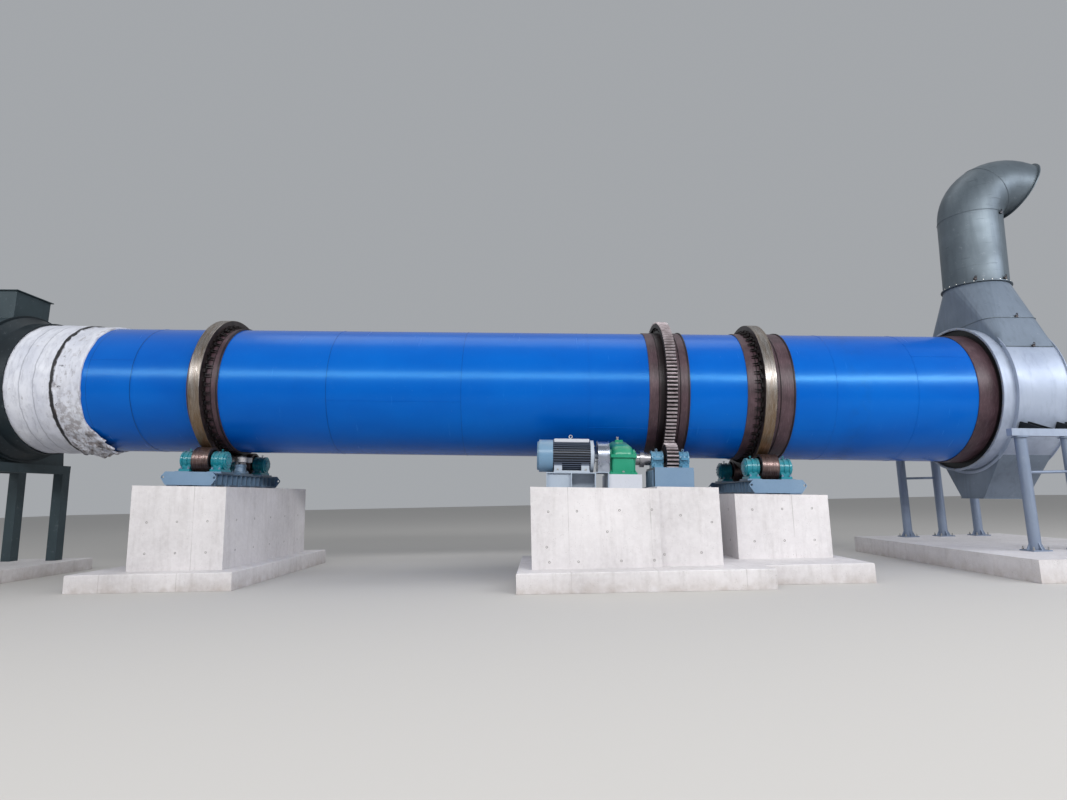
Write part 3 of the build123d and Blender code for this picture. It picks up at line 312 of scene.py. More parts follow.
def cut_teeth(name, centre, tip):
    """Primed gear steel with cut teeth: pale tops and bright flanks, partly a painted highlight; black roots
    and faces as painted shade.
    """
    finish, tree, shader, place = begin(name, 0.5)
    drum, down, radius = reach(tree, place, centre)
    patch = cloud(tree, drum, 9.0, detail=6.0, low=0.35, high=0.65)
    # Painted shade: the faces off the teeth are near-black.
    face = mix(tree, patch, shade("#141012"), shade("#2b2325"))
    cut = mix(tree, patch, shade("#c6bcbf"), shade("#94888a"))
    # Painted highlight in part: the tooth tops are pale.
    land = mix(tree, patch, shade("#b0a5aa"), shade("#85787c"))
    cut = mix(tree, ramp(tree, radius, tip - 0.003, tip - 0.001), cut, land)
    # Painted shade: the roots between the teeth are near-black.
    cut = mix(tree, ramp(tree, radius, tip - 0.02, tip - 0.036), cut, shade("#0d0a0b"))
    flank = ramp(tree, square_on(tree), 0.5, 0.2)
    tree.links.new(mix(tree, flank, face, cut), shader.inputs["Base Color"])
    tree.links.new(times(tree, flank, 0.45), shader.inputs["Metallic"])
    bumped(tree, shader, cloud(tree, drum, 70.0, detail=3.0, low=0.2, high=0.8), 0.2, 0.001)
    return finish


def machined(name, code="#b4b3b6", roughness=0.32, grime=0.3):
    """Turned or sheared bare steel, lightly oiled, with fingerprints and thin rust."""
    finish, tree, shader, place = begin(name, roughness, metallic=1.0)
    smear = cloud(tree, place, 7.0, detail=6.0, low=0.4, high=0.75)
    base = mix(tree, times(tree, smear, grime), shade(code), shade("#6b5d52"))
    tree.links.new(base, shader.inputs["Base Color"])
    tree.links.new(between(tree, smear, roughness - 0.08, roughness + 0.2), shader.inputs["Roughness"])
    bumped(tree, shader, cloud(tree, place, 90.0, detail=3.0, low=0.2, high=0.8), 0.1, 0.0005)
    return finish


def cast_concrete(name):
    """Fair-faced concrete: upright panel joints, cement bloom, drips, pores and splashed feet."""
    finish, tree, shader, place = begin(name, 0.85)
    tone = cloud(tree, place, 0.9, detail=8.0, roughness=0.6, low=0.3, high=0.72)
    base = mix(tree, tone, shade("#c3bfc0"), shade("#dedadb"))
    drip = cloud(tree, place, 3.0, detail=8.0, roughness=0.65, stretch=(2.6, 2.6, 0.3), low=0.5, high=0.78)
    base = mix(tree, times(tree, drip, 0.4), base, shade("#a19b99"))
    mottle = cloud(tree, place, 14.0, detail=8.0, roughness=0.7, low=0.4, high=0.75)
    base = mix(tree, times(tree, mottle, 0.35), base, shade("#eceaeb"))
    parts = add(tree, "SeparateXYZ", {0: place})
    saw = times(tree, times(tree, parts.outputs[0], -0.347, "ADD"), 0.61, "PINGPONG")
    line = ramp(tree, saw, 0.009, 0.0)
    broken = times(tree, line, cloud(tree, place, 2.0, low=0.35, high=0.6))
    base = mix(tree, times(tree, broken, 0.5), base, shade("#8b8581"))
    splash = ramp(tree, parts.outputs[2], 0.22, 0.0)
    dirty = times(tree, splash, cloud(tree, place, 6.0, detail=8.0, low=0.25, high=0.65))
    base = mix(tree, times(tree, dirty, 0.5), base, shade("#96877b"))
    pores = add(tree, "TexVoronoi", {"Vector": place, "Scale": 42.0, "Randomness": 1.0}, feature="F1")
    hole = ramp(tree, pores.outputs["Distance"], 0.2, 0.1)
    few = times(tree, hole, cloud(tree, place, 8.0, low=0.5, high=0.6))
    base = mix(tree, times(tree, few, 0.7), base, shade("#7d7875"))
    tree.links.new(base, shader.inputs["Base Color"])
    grain = cloud(tree, place, 60.0, detail=8.0, roughness=0.7, low=0.2, high=0.8)
    height = times(tree, times(tree, grain, 0.5), times(tree, few, -1.0), "ADD")
    height = times(tree, height, times(tree, broken, 0.8), "ADD")
    bumped(tree, shader, height, 0.5, 0.004)
    return finish


def silver_paint(name, code="#b6c0d1", worn="#9ba6b9", stain="#667183", dark_within=0.0, painted_shade_above=9.0,
                 metal=0.25, scraped=0.0):
    """Aluminium paint on folded plate: soft grey sheen, rain streaks, scrapes, near-black within a
    radius of the drum axis, and painted shade, near-black, above a height over it."""
    finish, tree, shader, place = begin(name, 0.45, metallic=metal)
    patch = cloud(tree, place, 1.3, detail=6.0, low=0.3, high=0.72)
    base = mix(tree, patch, shade(code), shade(worn))
    streak = cloud(tree, place, 4.0, detail=8.0, roughness=0.6, stretch=(3.0, 3.0, 0.25), low=0.5, high=0.8)
    base = mix(tree, times(tree, streak, 0.35), base, shade(stain))
    smudge = cloud(tree, place, 11.0, detail=8.0, roughness=0.7, low=0.6, high=0.8)
    base = mix(tree, times(tree, smudge, 0.2), base, shade("#d3d9e2"))
    scrape = cloud(tree, place, 4.0, detail=8.0, roughness=0.7, stretch=(0.6, 0.6, 5.0), low=0.6, high=0.68)
    base = mix(tree, times(tree, scrape, scraped), base, shade("#20262a"))
    drum, down, radius = reach(tree, place)
    rise = add(tree, "SeparateXYZ", {0: drum}).outputs[2]
    # Near-black within a radius of the axis, and near-black above a height as painted shade.
    inner_dark_and_painted_shade = times(tree, ramp(tree, radius, dark_within, dark_within - 0.002),
                 ramp(tree, rise, painted_shade_above, painted_shade_above + 0.002), "MAXIMUM")
    base = mix(tree, inner_dark_and_painted_shade, base, shade("#161a1d"))
    tree.links.new(base, shader.inputs["Base Color"])
    tree.links.new(between(tree, patch, 0.36, 0.55), shader.inputs["Roughness"])
    bumped(tree, shader, cloud(tree, place, 2.2, detail=2.0, low=0.1, high=0.9), 0.3, 0.008)
    return finish


def coated_cloth():
    """Coated glass cloth over insulation: off-white, creased with painted shade in the creases, black along
    the step, brown stains.
    """
    finish, tree, shader, place = begin("coated_glass_cloth", 0.6, Sheen_Weight=0.1)
    drum, down, radius = reach(tree, place)
    tone = cloud(tree, drum, 2.2, detail=6.0, low=0.3, high=0.7)
    base = mix(tree, tone, shade("#c3c6d2"), shade("#dbdde5"))
    crease = cloud(tree, drum, 6.0, detail=8.0, roughness=0.7, stretch=(2.5, 0.7, 0.7), low=0.5, high=0.68)
    # Painted shade: the creases are darker.
    base = mix(tree, times(tree, crease, 0.35), base, shade("#9a9cab"))
    waves = times(tree, cloud(tree, drum, 7.0, detail=6.0, low=0.0, high=1.0), 0.05)
    wander = times(tree, down, waves, "ADD")
    # Two faint dark lines: painted shade of two creases.
    for at in (-3.17, -2.92):
        base = mix(tree, times(tree, mark(tree, wander, at, 0.004, 0.012), 0.5), base, shade("#70727f"))
    low = ramp(tree, add(tree, "SeparateXYZ", {0: drum}).outputs[2], 0.1, -1.1)
    blot = times(tree, low, cloud(tree, drum, 7.0, detail=8.0, roughness=0.7, low=0.47, high=0.55))
    blot = times(tree, blot, ramp(tree, down, -2.75, -2.55))
    base = mix(tree, times(tree, blot, 0.75), base, shade("#5c4a3f"))
    # Black along the step and in jagged spots beside it.
    jagged = cloud(tree, drum, 10.0, detail=6.0, roughness=0.75, stretch=(0.6, 1.0, 1.0), low=0.6, high=0.65)
    step_black = times(tree, mark(tree, wander, -2.605, 0.02, 0.01),
                times(tree, jagged, mark(tree, down, -2.53, 0.05, 0.07)), "MAXIMUM")
    base = mix(tree, step_black, base, shade("#15151a"))
    fleck = cloud(tree, drum, 17.0, detail=4.0, low=0.66, high=0.72)
    scraped = cloud(tree, drum, 5.0, detail=8.0, roughness=0.75, stretch=(1.6, 0.8, 0.8),
                    low=0.55, high=0.62)
    fleck = times(tree, fleck, times(tree, scraped, ramp(tree, down, -2.62, -2.6)), "MAXIMUM")
    base = mix(tree, times(tree, fleck, 0.45), base, shade("#6b5f5c"))
    tree.links.new(base, shader.inputs["Base Color"])
    bumped(tree, shader, times(tree, crease, -1.0), 0.6, 0.01)
    return finish


def finned(name, centre, fins_from, start, end):
    """Motor enamel: pale on the shields and feet; darker over the fins and darkest at their roots, as
    painted shade between them.
    """
    finish = painted(name, "#a4aebb", "#b4bcc6", roughness=0.4)
    tree = finish.node_tree
    shader = tree.nodes["Principled BSDF"]
    place = add(tree, "TexCoord").outputs["Object"]
    drum, down, radius = reach(tree, place, centre)
    along_fins = times(tree, ramp(tree, down, start - 0.002, start), ramp(tree, down, end + 0.002, end))
    near = times(tree, ramp(tree, radius, 0.19, 0.2), ramp(tree, radius, 0.274, 0.272))
    lit = shader.inputs["Base Color"].links[0].from_socket
    # Painted shade: between the fins the colour darkens towards their roots.
    fins_with_painted_shade = mix(tree, ramp(tree, radius, fins_from, 0.262), shade("#1f252e"), shade("#566072"))
    tree.links.new(mix(tree, times(tree, along_fins, near), lit, fins_with_painted_shade), shader.inputs["Base Color"])
    return finish


blue_enamel = drum_enamel()
glass_cloth = coated_cloth()
oxide_primer = primer("red_oxide_primer", edge_from=1.2185)
# The pads' primer is near-black: painted shade for the dark ring beside the tyre faces.
pad_primer = primer("pad_primer_darkened_as_shade", "#120e0f", "#1e1819", "#3a302e")
tyre_steel = rolled_steel("tyre_rolled_steel", (0, 0, 0), 1.368, 1.378)
gear_steel = cut_teeth("cut_gear_steel", (0, 0, 0), 1.430)
pinion_steel = cut_teeth("cut_pinion_steel", (0, DRIVE_ACROSS / 1000, DRIVE_RISE / 1000), 0.286)
turned_steel = machined("turned_steel")
zinc_bolt = machined("zinc_plated_bolts", "#c3c2bd", 0.4, 0.45)
black_bolt = machined("black_oxide_bolts", "#47464a", 0.5, 0.4)
concrete = cast_concrete("fair_faced_concrete")
tie_mortar = painted("dark_tie_mortar", "#56504c", "#6b6560", roughness=0.9, dust_share=0.1)
# Its faces that look along the drum carry painted shade.
base_paint = painted("blue_grey_machine_enamel", "#6c87a1", "#7b95ad", shaded=0.6)
teal_enamel = painted("teal_machine_enamel", "#0e7887", "#2b96a4", roughness=0.28, coat=0.25)
bearing_blue = painted("light_blue_machine_enamel", "#4f86a6", "#6c9cb6", roughness=0.3, coat=0.15)
reducer_green = painted("green_machine_enamel", "#0a8463", "#1f9676", roughness=0.28, coat=0.25)
fin_paint = finned("finned_motor_enamel", (0, INPUT_ACROSS / 1000, DRIVE_RISE / 1000), 0.238, 6.308, 6.924)
motor_paint = painted("blue_grey_motor_enamel", "#678aa6", "#7e9bb3", roughness=0.36, coat=0.1)
pale_paint = painted("off_white_machine_enamel", "#b9bdc6", "#cacbd0", roughness=0.42)
stand_paint = painted("pale_grey_machine_enamel", "#9aa7b6", "#abb5c0", roughness=0.42)
hood_paint = silver_paint("aluminium_paint", "#abb5c6", "#8f9aae", "#5c6779")
post_paint = silver_paint("aluminium_paint_on_posts", "#8793a6", "#748197", "#4f5b6b")
collar_paint = silver_paint("aluminium_paint_with_dark_seal", dark_within=1.3335)
# The brackets above the beam tops are painted near-black as painted shade.
beam_paint = silver_paint("aluminium_paint_on_beams", "#a2adbf", "#8b96a9", painted_shade_above=-0.758)
# A darker copy of the aluminium paint for the transition and hopper: painted shade.
shaded_paint = silver_paint("aluminium_paint_darkened_as_shade", "#768291", "#65717f", "#414b56")
# Darker grey paint for the duct and elbow, partly painted shade, with scrapes and streaks.
duct_paint = silver_paint("zinc_paint_dusty_and_painted_shade", "#67727a", "#535d65", "#363e44", metal=0.5, scraped=0.5)
# Dark grey-green paint for the feed hood, chute and frame: painted shade over a lighter paint.
feed_paint = silver_paint("grey_green_paint_darkened_as_shade", "#3a494f", "#2f3d43", "#1c2529")
seal_paint = silver_paint("dark_seal_paint", "#101a20", "#1b2930", "#0b1114")
galvanised = machined("galvanised_sheet", "#a5acb9", 0.3, 0.12)

NODE_FINISH = {
    "drum_shell": blue_enamel, "tyres": tyre_steel, "wear_bands": oxide_primer, "tyre_pads": pad_primer,
    "girth_gear": gear_steel, "gear_band": oxide_primer, "pinion": pinion_steel,
    "pinion_coupling": turned_steel, "roller_housings": teal_enamel, "roller_bases": base_paint,
    "thrust_roller_pedestals": base_paint, "piers": concrete, "footings": concrete,
    "discharge_slabs": concrete, "pinion_base": base_paint, "pinion_bearings": bearing_blue,
    "reducer_case": reducer_green, "reducer_cover": reducer_green, "reducer_base": pale_paint,
    "motor": fin_paint, "motor_cowl": motor_paint, "motor_top_box": pale_paint,
    "motor_stand": stand_paint, "coupling_guard": galvanised, "hood_drum": hood_paint,
    "hood_collar": collar_paint, "hood_transition": shaded_paint, "hood_end_plates": hood_paint,
    "hood_hopper": shaded_paint, "exhaust_duct": duct_paint, "exhaust_elbow": duct_paint,
    "hood_posts": post_paint, "hood_beams": beam_paint, "feed_seal": seal_paint, "feed_hood": feed_paint,
    "feed_hood_end_plate": feed_paint, "feed_chute": feed_paint, "feed_hood_frame": feed_paint,
    "feed_side_thrust_roller": turned_steel, "discharge_side_thrust_roller": turned_steel,
}
ROLLERS = {f"{station_name}_{row}_roller": (at, side)
           for station_name, at in zip(("thrust", "discharge"), TYRES)
           for row, side in (("front", -1), ("rear", 1))}
for name, (at, side) in ROLLERS.items():
    NODE_FINISH[name] = rolled_steel(f"{name}_steel", (0, side * ROLLER_ACROSS / 1000, ROLLER_RISE / 1000),
                                     0.226, 0.236, film=("#5a4340", "#3f2e2c"), bright="#d9c9c4", ochre=0.0)
for name, finish in NODE_FINISH.items():
    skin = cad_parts[name].data
    skin.materials.clear()
    skin.materials.append(finish)


# Meshes
class Piece:
    """Gathers the faces of one piece in millimetres, then makes it an object in metres."""

    def __init__(self):
        self.mesh = bmesh.new()

    def skin(self, rings, wrap=True, caps=True):
        """Joins rings of points into a surface."""
        rows = [[self.mesh.verts.new(point) for point in ring] for ring in rings]
        count = len(rows[0])
        for first, second in zip(rows, rows[1:]):
            for i in range(count if wrap else count - 1):
                j = (i + 1) % count
                self.mesh.faces.new((first[i], first[j], second[j], second[i]))
        if caps:
            self.mesh.faces.new(list(reversed(rows[0])))
            self.mesh.faces.new(rows[-1])

    def turned(self, origin, axis, profile, sides=32, closed=False):
        """A turned form from (distance, radius) pairs; a closed profile makes a ring."""
        axis = Vector(axis).normalized()
        side = axis.orthogonal().normalized()
        other = axis.cross(side)
        points = list(profile) + ([profile[0]] if closed else [])
        rings = [[origin + axis * d + (side * cos(tau * k / sides) + other * sin(tau * k / sides)) * r
                  for k in range(sides)] for d, r in points]
        self.skin(rings, caps=not closed)

    def rod(self, start, end, radius, sides=16):
        """A round bar from one point to another."""
        self.turned(start, end - start, [(0, radius), ((end - start).length, radius)], sides)

    def block(self, centre, sizes, axes=LEVEL):
        """A bar or plate with square corners, around its centre."""
        half = [axis * size / 2 for axis, size in zip(axes, sizes)]
        rings = [[centre + half[0] * a + half[1] * b + half[2] * c
                  for a, b in ((-1, -1), (1, -1), (1, 1), (-1, 1))] for c in (-1, 1)]
        self.skin(rings)

    def plate(self, outline, depth):
        """A flat outline given thickness along the depth vector."""
        self.skin([list(outline), [point + depth for point in outline]])

    def bolt(self, place, axis, size, stub=0.5):
        """Hexagon head or nut on a washer, size across flats, with a stub of thread."""
        axis = Vector(axis).normalized()
        side = axis.orthogonal().normalized()
        self.turned(place - axis, axis, [(0, size * 0.72), (1 + size * 0.12, size * 0.72)], 12)
        high = size * 0.12
        self.turned(place, axis, [(high, size * 0.55), (high + size * 0.5, size * 0.58),
                                  (high + size * 0.58, size * 0.48)], 6)
        if stub:
            top = high + size * 0.58
            self.rod(place + axis * (top - 1), place + axis * (top + size * stub), size * 0.3, 8)

    def bolts(self, centre, radius, count, axis, size, stub=0, plane=(ACROSS, UP)):
        """A ring of bolts."""
        for k in range(count):
            turn = tau * (k + 0.5) / count
            arm = plane[0] * radius * cos(turn) + plane[1] * radius * sin(turn)
            self.bolt(centre + arm, axis, size, stub)

    def hoop(self, centre, axis, radius, thick, sides=64, cross=6):
        """A round bead or eye: a torus."""
        self.turned(centre, axis, [(thick * sin(tau * k / cross), radius + thick * cos(tau * k / cross))
                                   for k in range(cross)], sides, closed=True)

    def made(self, name, finish, slot, body="root", bevel=0.0, smooth=35):
        """Makes the object, in metres, with its finish, its body and its soft edges."""
        bmesh.ops.recalc_face_normals(self.mesh, faces=self.mesh.faces)
        bmesh.ops.scale(self.mesh, vec=(0.001,) * 3, verts=self.mesh.verts)
        data = bpy.data.meshes.new(name)
        self.mesh.to_mesh(data)
        self.mesh.free()
        data.shade_smooth()
        data.set_sharp_from_angle(angle=radians(smooth))
        data.materials.append(finish)
        made = bpy.data.objects.new(name, data)
        bpy.context.scene.collection.objects.link(made)
        if bevel:
            soft = made.modifiers.new("soft_edges", "BEVEL")
            soft.width, soft.segments, soft.limit_method = bevel / 1000, 2, "ANGLE"
            soft.angle_limit = radians(40)
        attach(made, body)
        return made


# Drum: weld seams, cladding, band edges
SEAMS = (-1219, 2279, 4680, 6950, 11290, 12700)
beads = Piece()
for at in SEAMS:
    beads.hoop(station(at), ALONG, SHELL_RADIUS + 0.5, 4, sides=128)
runs = (SHELL_START + 1700,) + SEAMS + (SHELL_END - 500,)
for number, (start, end) in enumerate(zip(runs, runs[1:])):
    turn = (-72, 148, -106, 35, -128, 80, -60)[number]
    beads.rod(around(start, SHELL_RADIUS + 0.5, turn), around(end, SHELL_RADIUS + 0.5, turn), 4, 6)
beads.made("shell_weld_seams", blue_enamel, "drum_blue", "drum")

band_edges = Piece()
for at in (-210, 334, 10080 - 348, 10080 + 476, 13740, 14084, GEAR_AT - 351, GEAR_AT + 348):
    band_edges.hoop(station(at), ALONG, BAND_RADIUS - 10, 9, sides=128)
for at in (-185, 220, 9895, 10300, 8175, 8550):
    band_edges.hoop(station(at), ALONG, BAND_RADIUS + 4, 7, sides=128)
band_edges.made("band_fillet_welds", oxide_primer, "primer_brown", "drum")


def blanket():
    """The two-step cladding, creased round the drum, with a sagging torn edge at the bottom."""
    made = Piece()
    rows = []
    sides, thick_step, thin_step = 220, 56, 30
    stations = [(-3775, 2), (-3775, 50), (-3765, thick_step)]
    stations += [(-3765 + (3765 - 2630) * k / 26, thick_step) for k in range(1, 27)]
    stations += [(-2614, 52), (-2606, 34), (-2598, 27)]
    stations += [(-2598 + (2598 - 2140) * k / 12, thin_step) for k in range(1, 13)]
    stations += [(-2134, 24), (-2132, 2)]
    for at, thick in stations:
        ring = []
        for k in range(sides):
            turn = 360 * k / sides
            place = Vector((at / 260, 5 * cos(radians(turn)), 5 * sin(radians(turn))))
            fine = noise.noise(Vector((at / 90, place.y * 2, place.z * 2)))
            ruck = noise.noise(place * 1.1) * 9 + fine * 5
            edge = noise.noise(Vector((at / 2000, place.y * 1.3, place.z * 1.3 + 9))) * 16
            lift = 1 if thick > 20 else 0
            hanging = max(0, 1 - ((turn - 206) / 24) ** 2) * max(0, (at + 2470) / 340)
            torn = hanging * (0.75 + noise.noise(Vector((at / 60, turn / 4, 3))) * 0.9)
            edge += torn * 260
            lump = max(0, 1 - ((turn - 190) / 24) ** 2) * max(0, 1 - ((at + 2400) / 300) ** 2)
            lump *= 0.7 + noise.noise(Vector((at / 70, turn / 5, 8)))
            ring.append(around(at + (edge if lift or at > -2200 else 0) * (at > -2700),
                               SHELL_RADIUS + max(thick + ruck * lift + torn * 80 + lump * 110, 1.5), turn))
        rows.append(ring)
    made.skin(rows, caps=False)
    return made.made("lagging_blanket", glass_cloth, "lagging", "drum", smooth=60)


lagging = blanket()
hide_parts("feed_lagging")

# Girth gear: bolts through its web. Tyre stops: their gussets and bolts
gear_bolts = Piece()
for k in range(32):
    turn = 360 * (k + 0.5) / 32
    gear_bolts.bolt(around(GEAR_AT - 22 - 32, 1286, turn), -ALONG, 30)
    gear_bolts.bolt(around(GEAR_AT + 22, 1286, turn), ALONG, 30, stub=0.2)
gear_bolts.made("gear_web_bolts", black_bolt, "coupling_steel", "drum")
# Painted shade in part: the stop gussets are near-black plates reaching out beside the tyres, where their
# faces lie in shadow.
stop_gussets, stop_bolts = Piece(), Piece()
for at, end, length in ((TYRES[0], -1, 36), (TYRES[0], 1, 96), (TYRES[1], -1, 104), (TYRES[1], 1, 30)):
    for k in range(48):
        turn = 360 * (k + 0.5) / 48
        stop_bolts.bolt(around(at + end * (TYRE_HALF + 34), 1261, turn), ALONG * end, 24, stub=0.3)
        for lean in (-22, 22):
            heel = around(at + end * (TYRE_HALF + 34), 1220, turn) + outward(turn + 90) * (lean - 4)
            toe = heel + ALONG * end * length
            stop_gussets.plate([heel, toe, toe + outward(turn) * 8, heel + outward(turn) * 60],
                               outward(turn + 90) * 8)
stop_gussets.made("stop_gussets", pad_primer, "primer_brown", "drum")
stop_bolts.made("stop_bolts", black_bolt, "coupling_steel", "drum")

# Roller stations
caps, foot_bolts, frame_bolts, grease = Piece(), Piece(), Piece(), Piece()
for name, (tyre_at, side) in ROLLERS.items():
    at = tyre_at + ROLLERS_PAST_TYRE
    for end in (-1, 1):
        middle = at + end * (HOUSING_START + HOUSING_LENGTH / 2)
        far = at + end * (HOUSING_START + HOUSING_LENGTH)
        shaft = station(far, side * ROLLER_ACROSS, ROLLER_RISE)
        caps.turned(shaft, ALONG * end, [(-2, 98), (10, 98), (10, 60), (16, 54)], 32)
        foot_bolts.bolts(shaft + ALONG * end * 10, 82, 8, ALONG * end, 18)
        for a, b in CORNERS:
            spot = station(middle - end * 12 + a * 66, side * ROLLER_ACROSS + b * 166, BASE_TOP + 40)
            foot_bolts.bolt(spot, UP, 36)
        for a in (-1, 1):
            spot = station(middle + a * 52, side * ROLLER_ACROSS, ROLLER_RISE + 148)
            foot_bolts.bolt(spot, UP, 22, stub=0.2)
        top = station(middle, side * ROLLER_ACROSS, ROLLER_RISE + 164)
        grease.rod(top, top + UP * 12, 6, 8)
        grease.hoop(top + UP * 24, ACROSS, 14, 5, sides=20)
for at in TYRES:
    for beam in (-300, 300):
        for k in range(6):
            spot = station(at + ROLLERS_PAST_TYRE + beam, (k - 2.5) * (2440 / 5), PIER_TOP)
            for a, b in CORNERS:
                frame_bolts.bolt(spot + ALONG * a * 78 + ACROSS * b * 48 + UP * 22, UP, 34, stub=1.1)
for side in (-1, 1):
    foot_bolts.bolts(station(side * 297.3, 0, BASE_TOP + 24), 131, 6, UP, 24, stub=0.5,
                     plane=(ALONG, ACROSS))
caps.made("bearing_end_covers", teal_enamel, "housing_teal", bevel=2)
foot_bolts.made("bearing_bolts", base_paint, "base_grey")
frame_bolts.made("anchor_bolts", base_paint, "base_grey")
grease.made("lifting_eyes", teal_enamel, "housing_teal")

# Pinion bearings and their carrier
bearing_bolts, carrier_ribs = Piece(), Piece()
for start, length in PINION_BEARINGS:
    middle = start + length / 2
    for a, b in CORNERS:
        at = middle + b * (length / 2 - 46)
        bearing_bolts.bolt(station(at, DRIVE_ACROSS + a * 184, DRIVE_RISE - 127), UP, 32)
        bearing_bolts.bolt(station(at, DRIVE_ACROSS + a * 150, DRIVE_RISE + 22), UP, 24)
    for face, end in ((start, -1), (start + length, 1)):
        bearing_bolts.bolts(station(face, DRIVE_ACROSS, DRIVE_RISE), 112, 8, ALONG * end, 16)
    carrier_ribs.hoop(station(middle, DRIVE_ACROSS, DRIVE_RISE + 158), ACROSS, 17, 6, sides=20)
bearing_bolts.made("pinion_bearing_bolts", bearing_blue, "coupling_steel")
carrier_middle = (PINION_BEARINGS[0][0] + sum(PINION_BEARINGS[1])) / 2
for k in range(4):
    for end in (-1, 1):
        spot = station(carrier_middle + end * (324 + 17), DRIVE_ACROSS - 300 + k * 200,
                       PINION_PIER_TOP + 150)
        carrier_ribs.block(spot, (34, 14, 296), DECK)
for side in (-1, 1):
    spot = station(carrier_middle, DRIVE_ACROSS + side * 470, PINION_PIER_TOP + 10)
    carrier_ribs.block(spot, (700, 90, 20), DECK)
carrier_ribs.made("carrier_ribs", base_paint, "base_grey", bevel=1.5)

# Gear reducer
reducer, flange_bolts = Piece(), Piece()
case_front, case_back = INPUT_ACROSS - 205, DRIVE_ACROSS + 300
for k in range(11):
    across = case_front - 8 + (case_back - case_front + 16) * k / 10
    for end in (-1, 1):
        flange_bolts.bolt(station(REDUCER_AT + end * 205, across, DRIVE_RISE + 26), UP, 22)
        flange_bolts.bolt(station(REDUCER_AT + end * 205, across, DRIVE_RISE - 26), -UP, 22, stub=0)
for end in (-1, 1):
    for place in (INPUT_ACROSS, DRIVE_ACROSS):
        face = REDUCER_AT + end * (REDUCER_HALF + 24)
        if not (end == 1 and place == DRIVE_ACROSS):
            reducer.turned(station(face - end * 4, place, DRIVE_RISE), ALONG * end,
                           [(0, 104), (14, 104), (14, 62), (20, 56)], 32)
        flange_bolts.bolts(station(face + end * 9, place, DRIVE_RISE), 92, 8, ALONG * end, 16)
    for across in (case_front + 30, (case_front + case_back) / 2, case_back - 30):
        flange_bolts.bolt(station(REDUCER_AT + end * 200, across, DRIVE_RISE - 300 + 32), UP, 30)
        reducer.block(station(REDUCER_AT + end * 197, across + 60, DRIVE_RISE - 150), (24, 16, 240), DECK)
reducer.made("reducer_covers", reducer_green, "reducer_green", bevel=2)
flange_bolts.made("reducer_bolts", reducer_green, "reducer_green")
breather = Piece()
vent = station(REDUCER_AT - 20, DRIVE_ACROSS - 60, DRIVE_RISE + 316)
breather.turned(vent, UP, [(0, 26), (16, 26), (16, 14), (34, 14), (34, 30), (54, 30), (60, 22)], 20)
gauge = station(REDUCER_AT - REDUCER_HALF - 3, DRIVE_ACROSS - 250, DRIVE_RISE - 120)
breather.turned(gauge, -ALONG, [(0, 24), (14, 24), (14, 16), (16, 14)], 20)
breather.turned(station(REDUCER_AT, case_front - 2, DRIVE_RISE - 262), -ACROSS,
                [(0, 22), (18, 22), (18, 14), (30, 14)], 6)
breather.made("breather_and_plugs", turned_steel, "coupling_steel")

# Motor, stand and guard
motor_trim = Piece()
for at, end in ((MOTOR_END - 25, 1), (MOTOR_END - 80, -1)):
    motor_trim.bolts(station(at, INPUT_ACROSS, DRIVE_RISE), 222, 4, ALONG * end, 22)
eye = station(MOTOR_START + 552, INPUT_ACROSS, DRIVE_RISE + 278)
motor_trim.turned(eye, UP, [(0, 22), (14, 22), (14, 12), (24, 12)], 16)
motor_trim.hoop(eye + UP * 46, ACROSS, 26, 8, sides=28, cross=8)
for a, b in CORNERS:
    motor_trim.bolt(station(MOTOR_MIDDLE + a * 230, INPUT_ACROSS + b * 215, DRIVE_RISE - 250), UP, 30)
motor_trim.made("motor_bolts", zinc_bolt, "coupling_steel")
grille = Piece()
back = station(MOTOR_START, INPUT_ACROSS, DRIVE_RISE)
for radius in (70, 105, 140, 175, 210):
    grille.hoop(back - ALONG * 5, ALONG, radius, 3.5, sides=48)
for k in range(8):
    turn = tau * k / 8
    arm = ACROSS * cos(turn) + UP * sin(turn)
    grille.rod(back - ALONG * 5 + arm * 30, back - ALONG * 5 + arm * 228, 4, 6)
grille.turned(back, -ALONG, [(0, 44), (8, 44), (10, 40)], 24)
grille.made("fan_grille", motor_paint, "motor_grey")
box = Piece()
box.block(station(MOTOR_MIDDLE, INPUT_ACROSS + 262, DRIVE_RISE + 76), (150, 30, 92), DECK)
box.block(station(MOTOR_MIDDLE, INPUT_ACROSS + 290, DRIVE_RISE + 60), (190, 60, 130), DECK)
box.made("terminal_box", motor_paint, "motor_grey", bevel=5)
gland = Piece()
gland.turned(station(MOTOR_MIDDLE, INPUT_ACROSS + 290, DRIVE_RISE - 5), -UP,
             [(0, 24), (20, 24), (20, 18), (38, 18)], 6)
gland.made("cable_gland", turned_steel, "coupling_steel")

stand_panel = Piece()
stand_panel.block(station(MOTOR_START + 360, INPUT_ACROSS - 262, MOTOR_PIER_TOP + 119), (390, 8, 236), DECK)
stand_panel.made("stand_panel", stand_paint, "stand_white")

guard = Piece()
for at in (GUARD_START, GUARD_START + GUARD_LENGTH - 12):
    guard.turned(station(at, INPUT_ACROSS, DRIVE_RISE), ALONG,
                 [(0, 244), (0, 262), (12, 262), (12, 244)], 64, closed=True)
guard.made("guard_rims", galvanised, "coupling_steel", bevel=1)
guard_bolts = Piece()
guard_bolts.bolts(station(GUARD_START, INPUT_ACROSS, DRIVE_RISE), 228, 10, -ALONG, 14)
guard_bolts.made("guard_bolts", zinc_bolt, "coupling_steel")

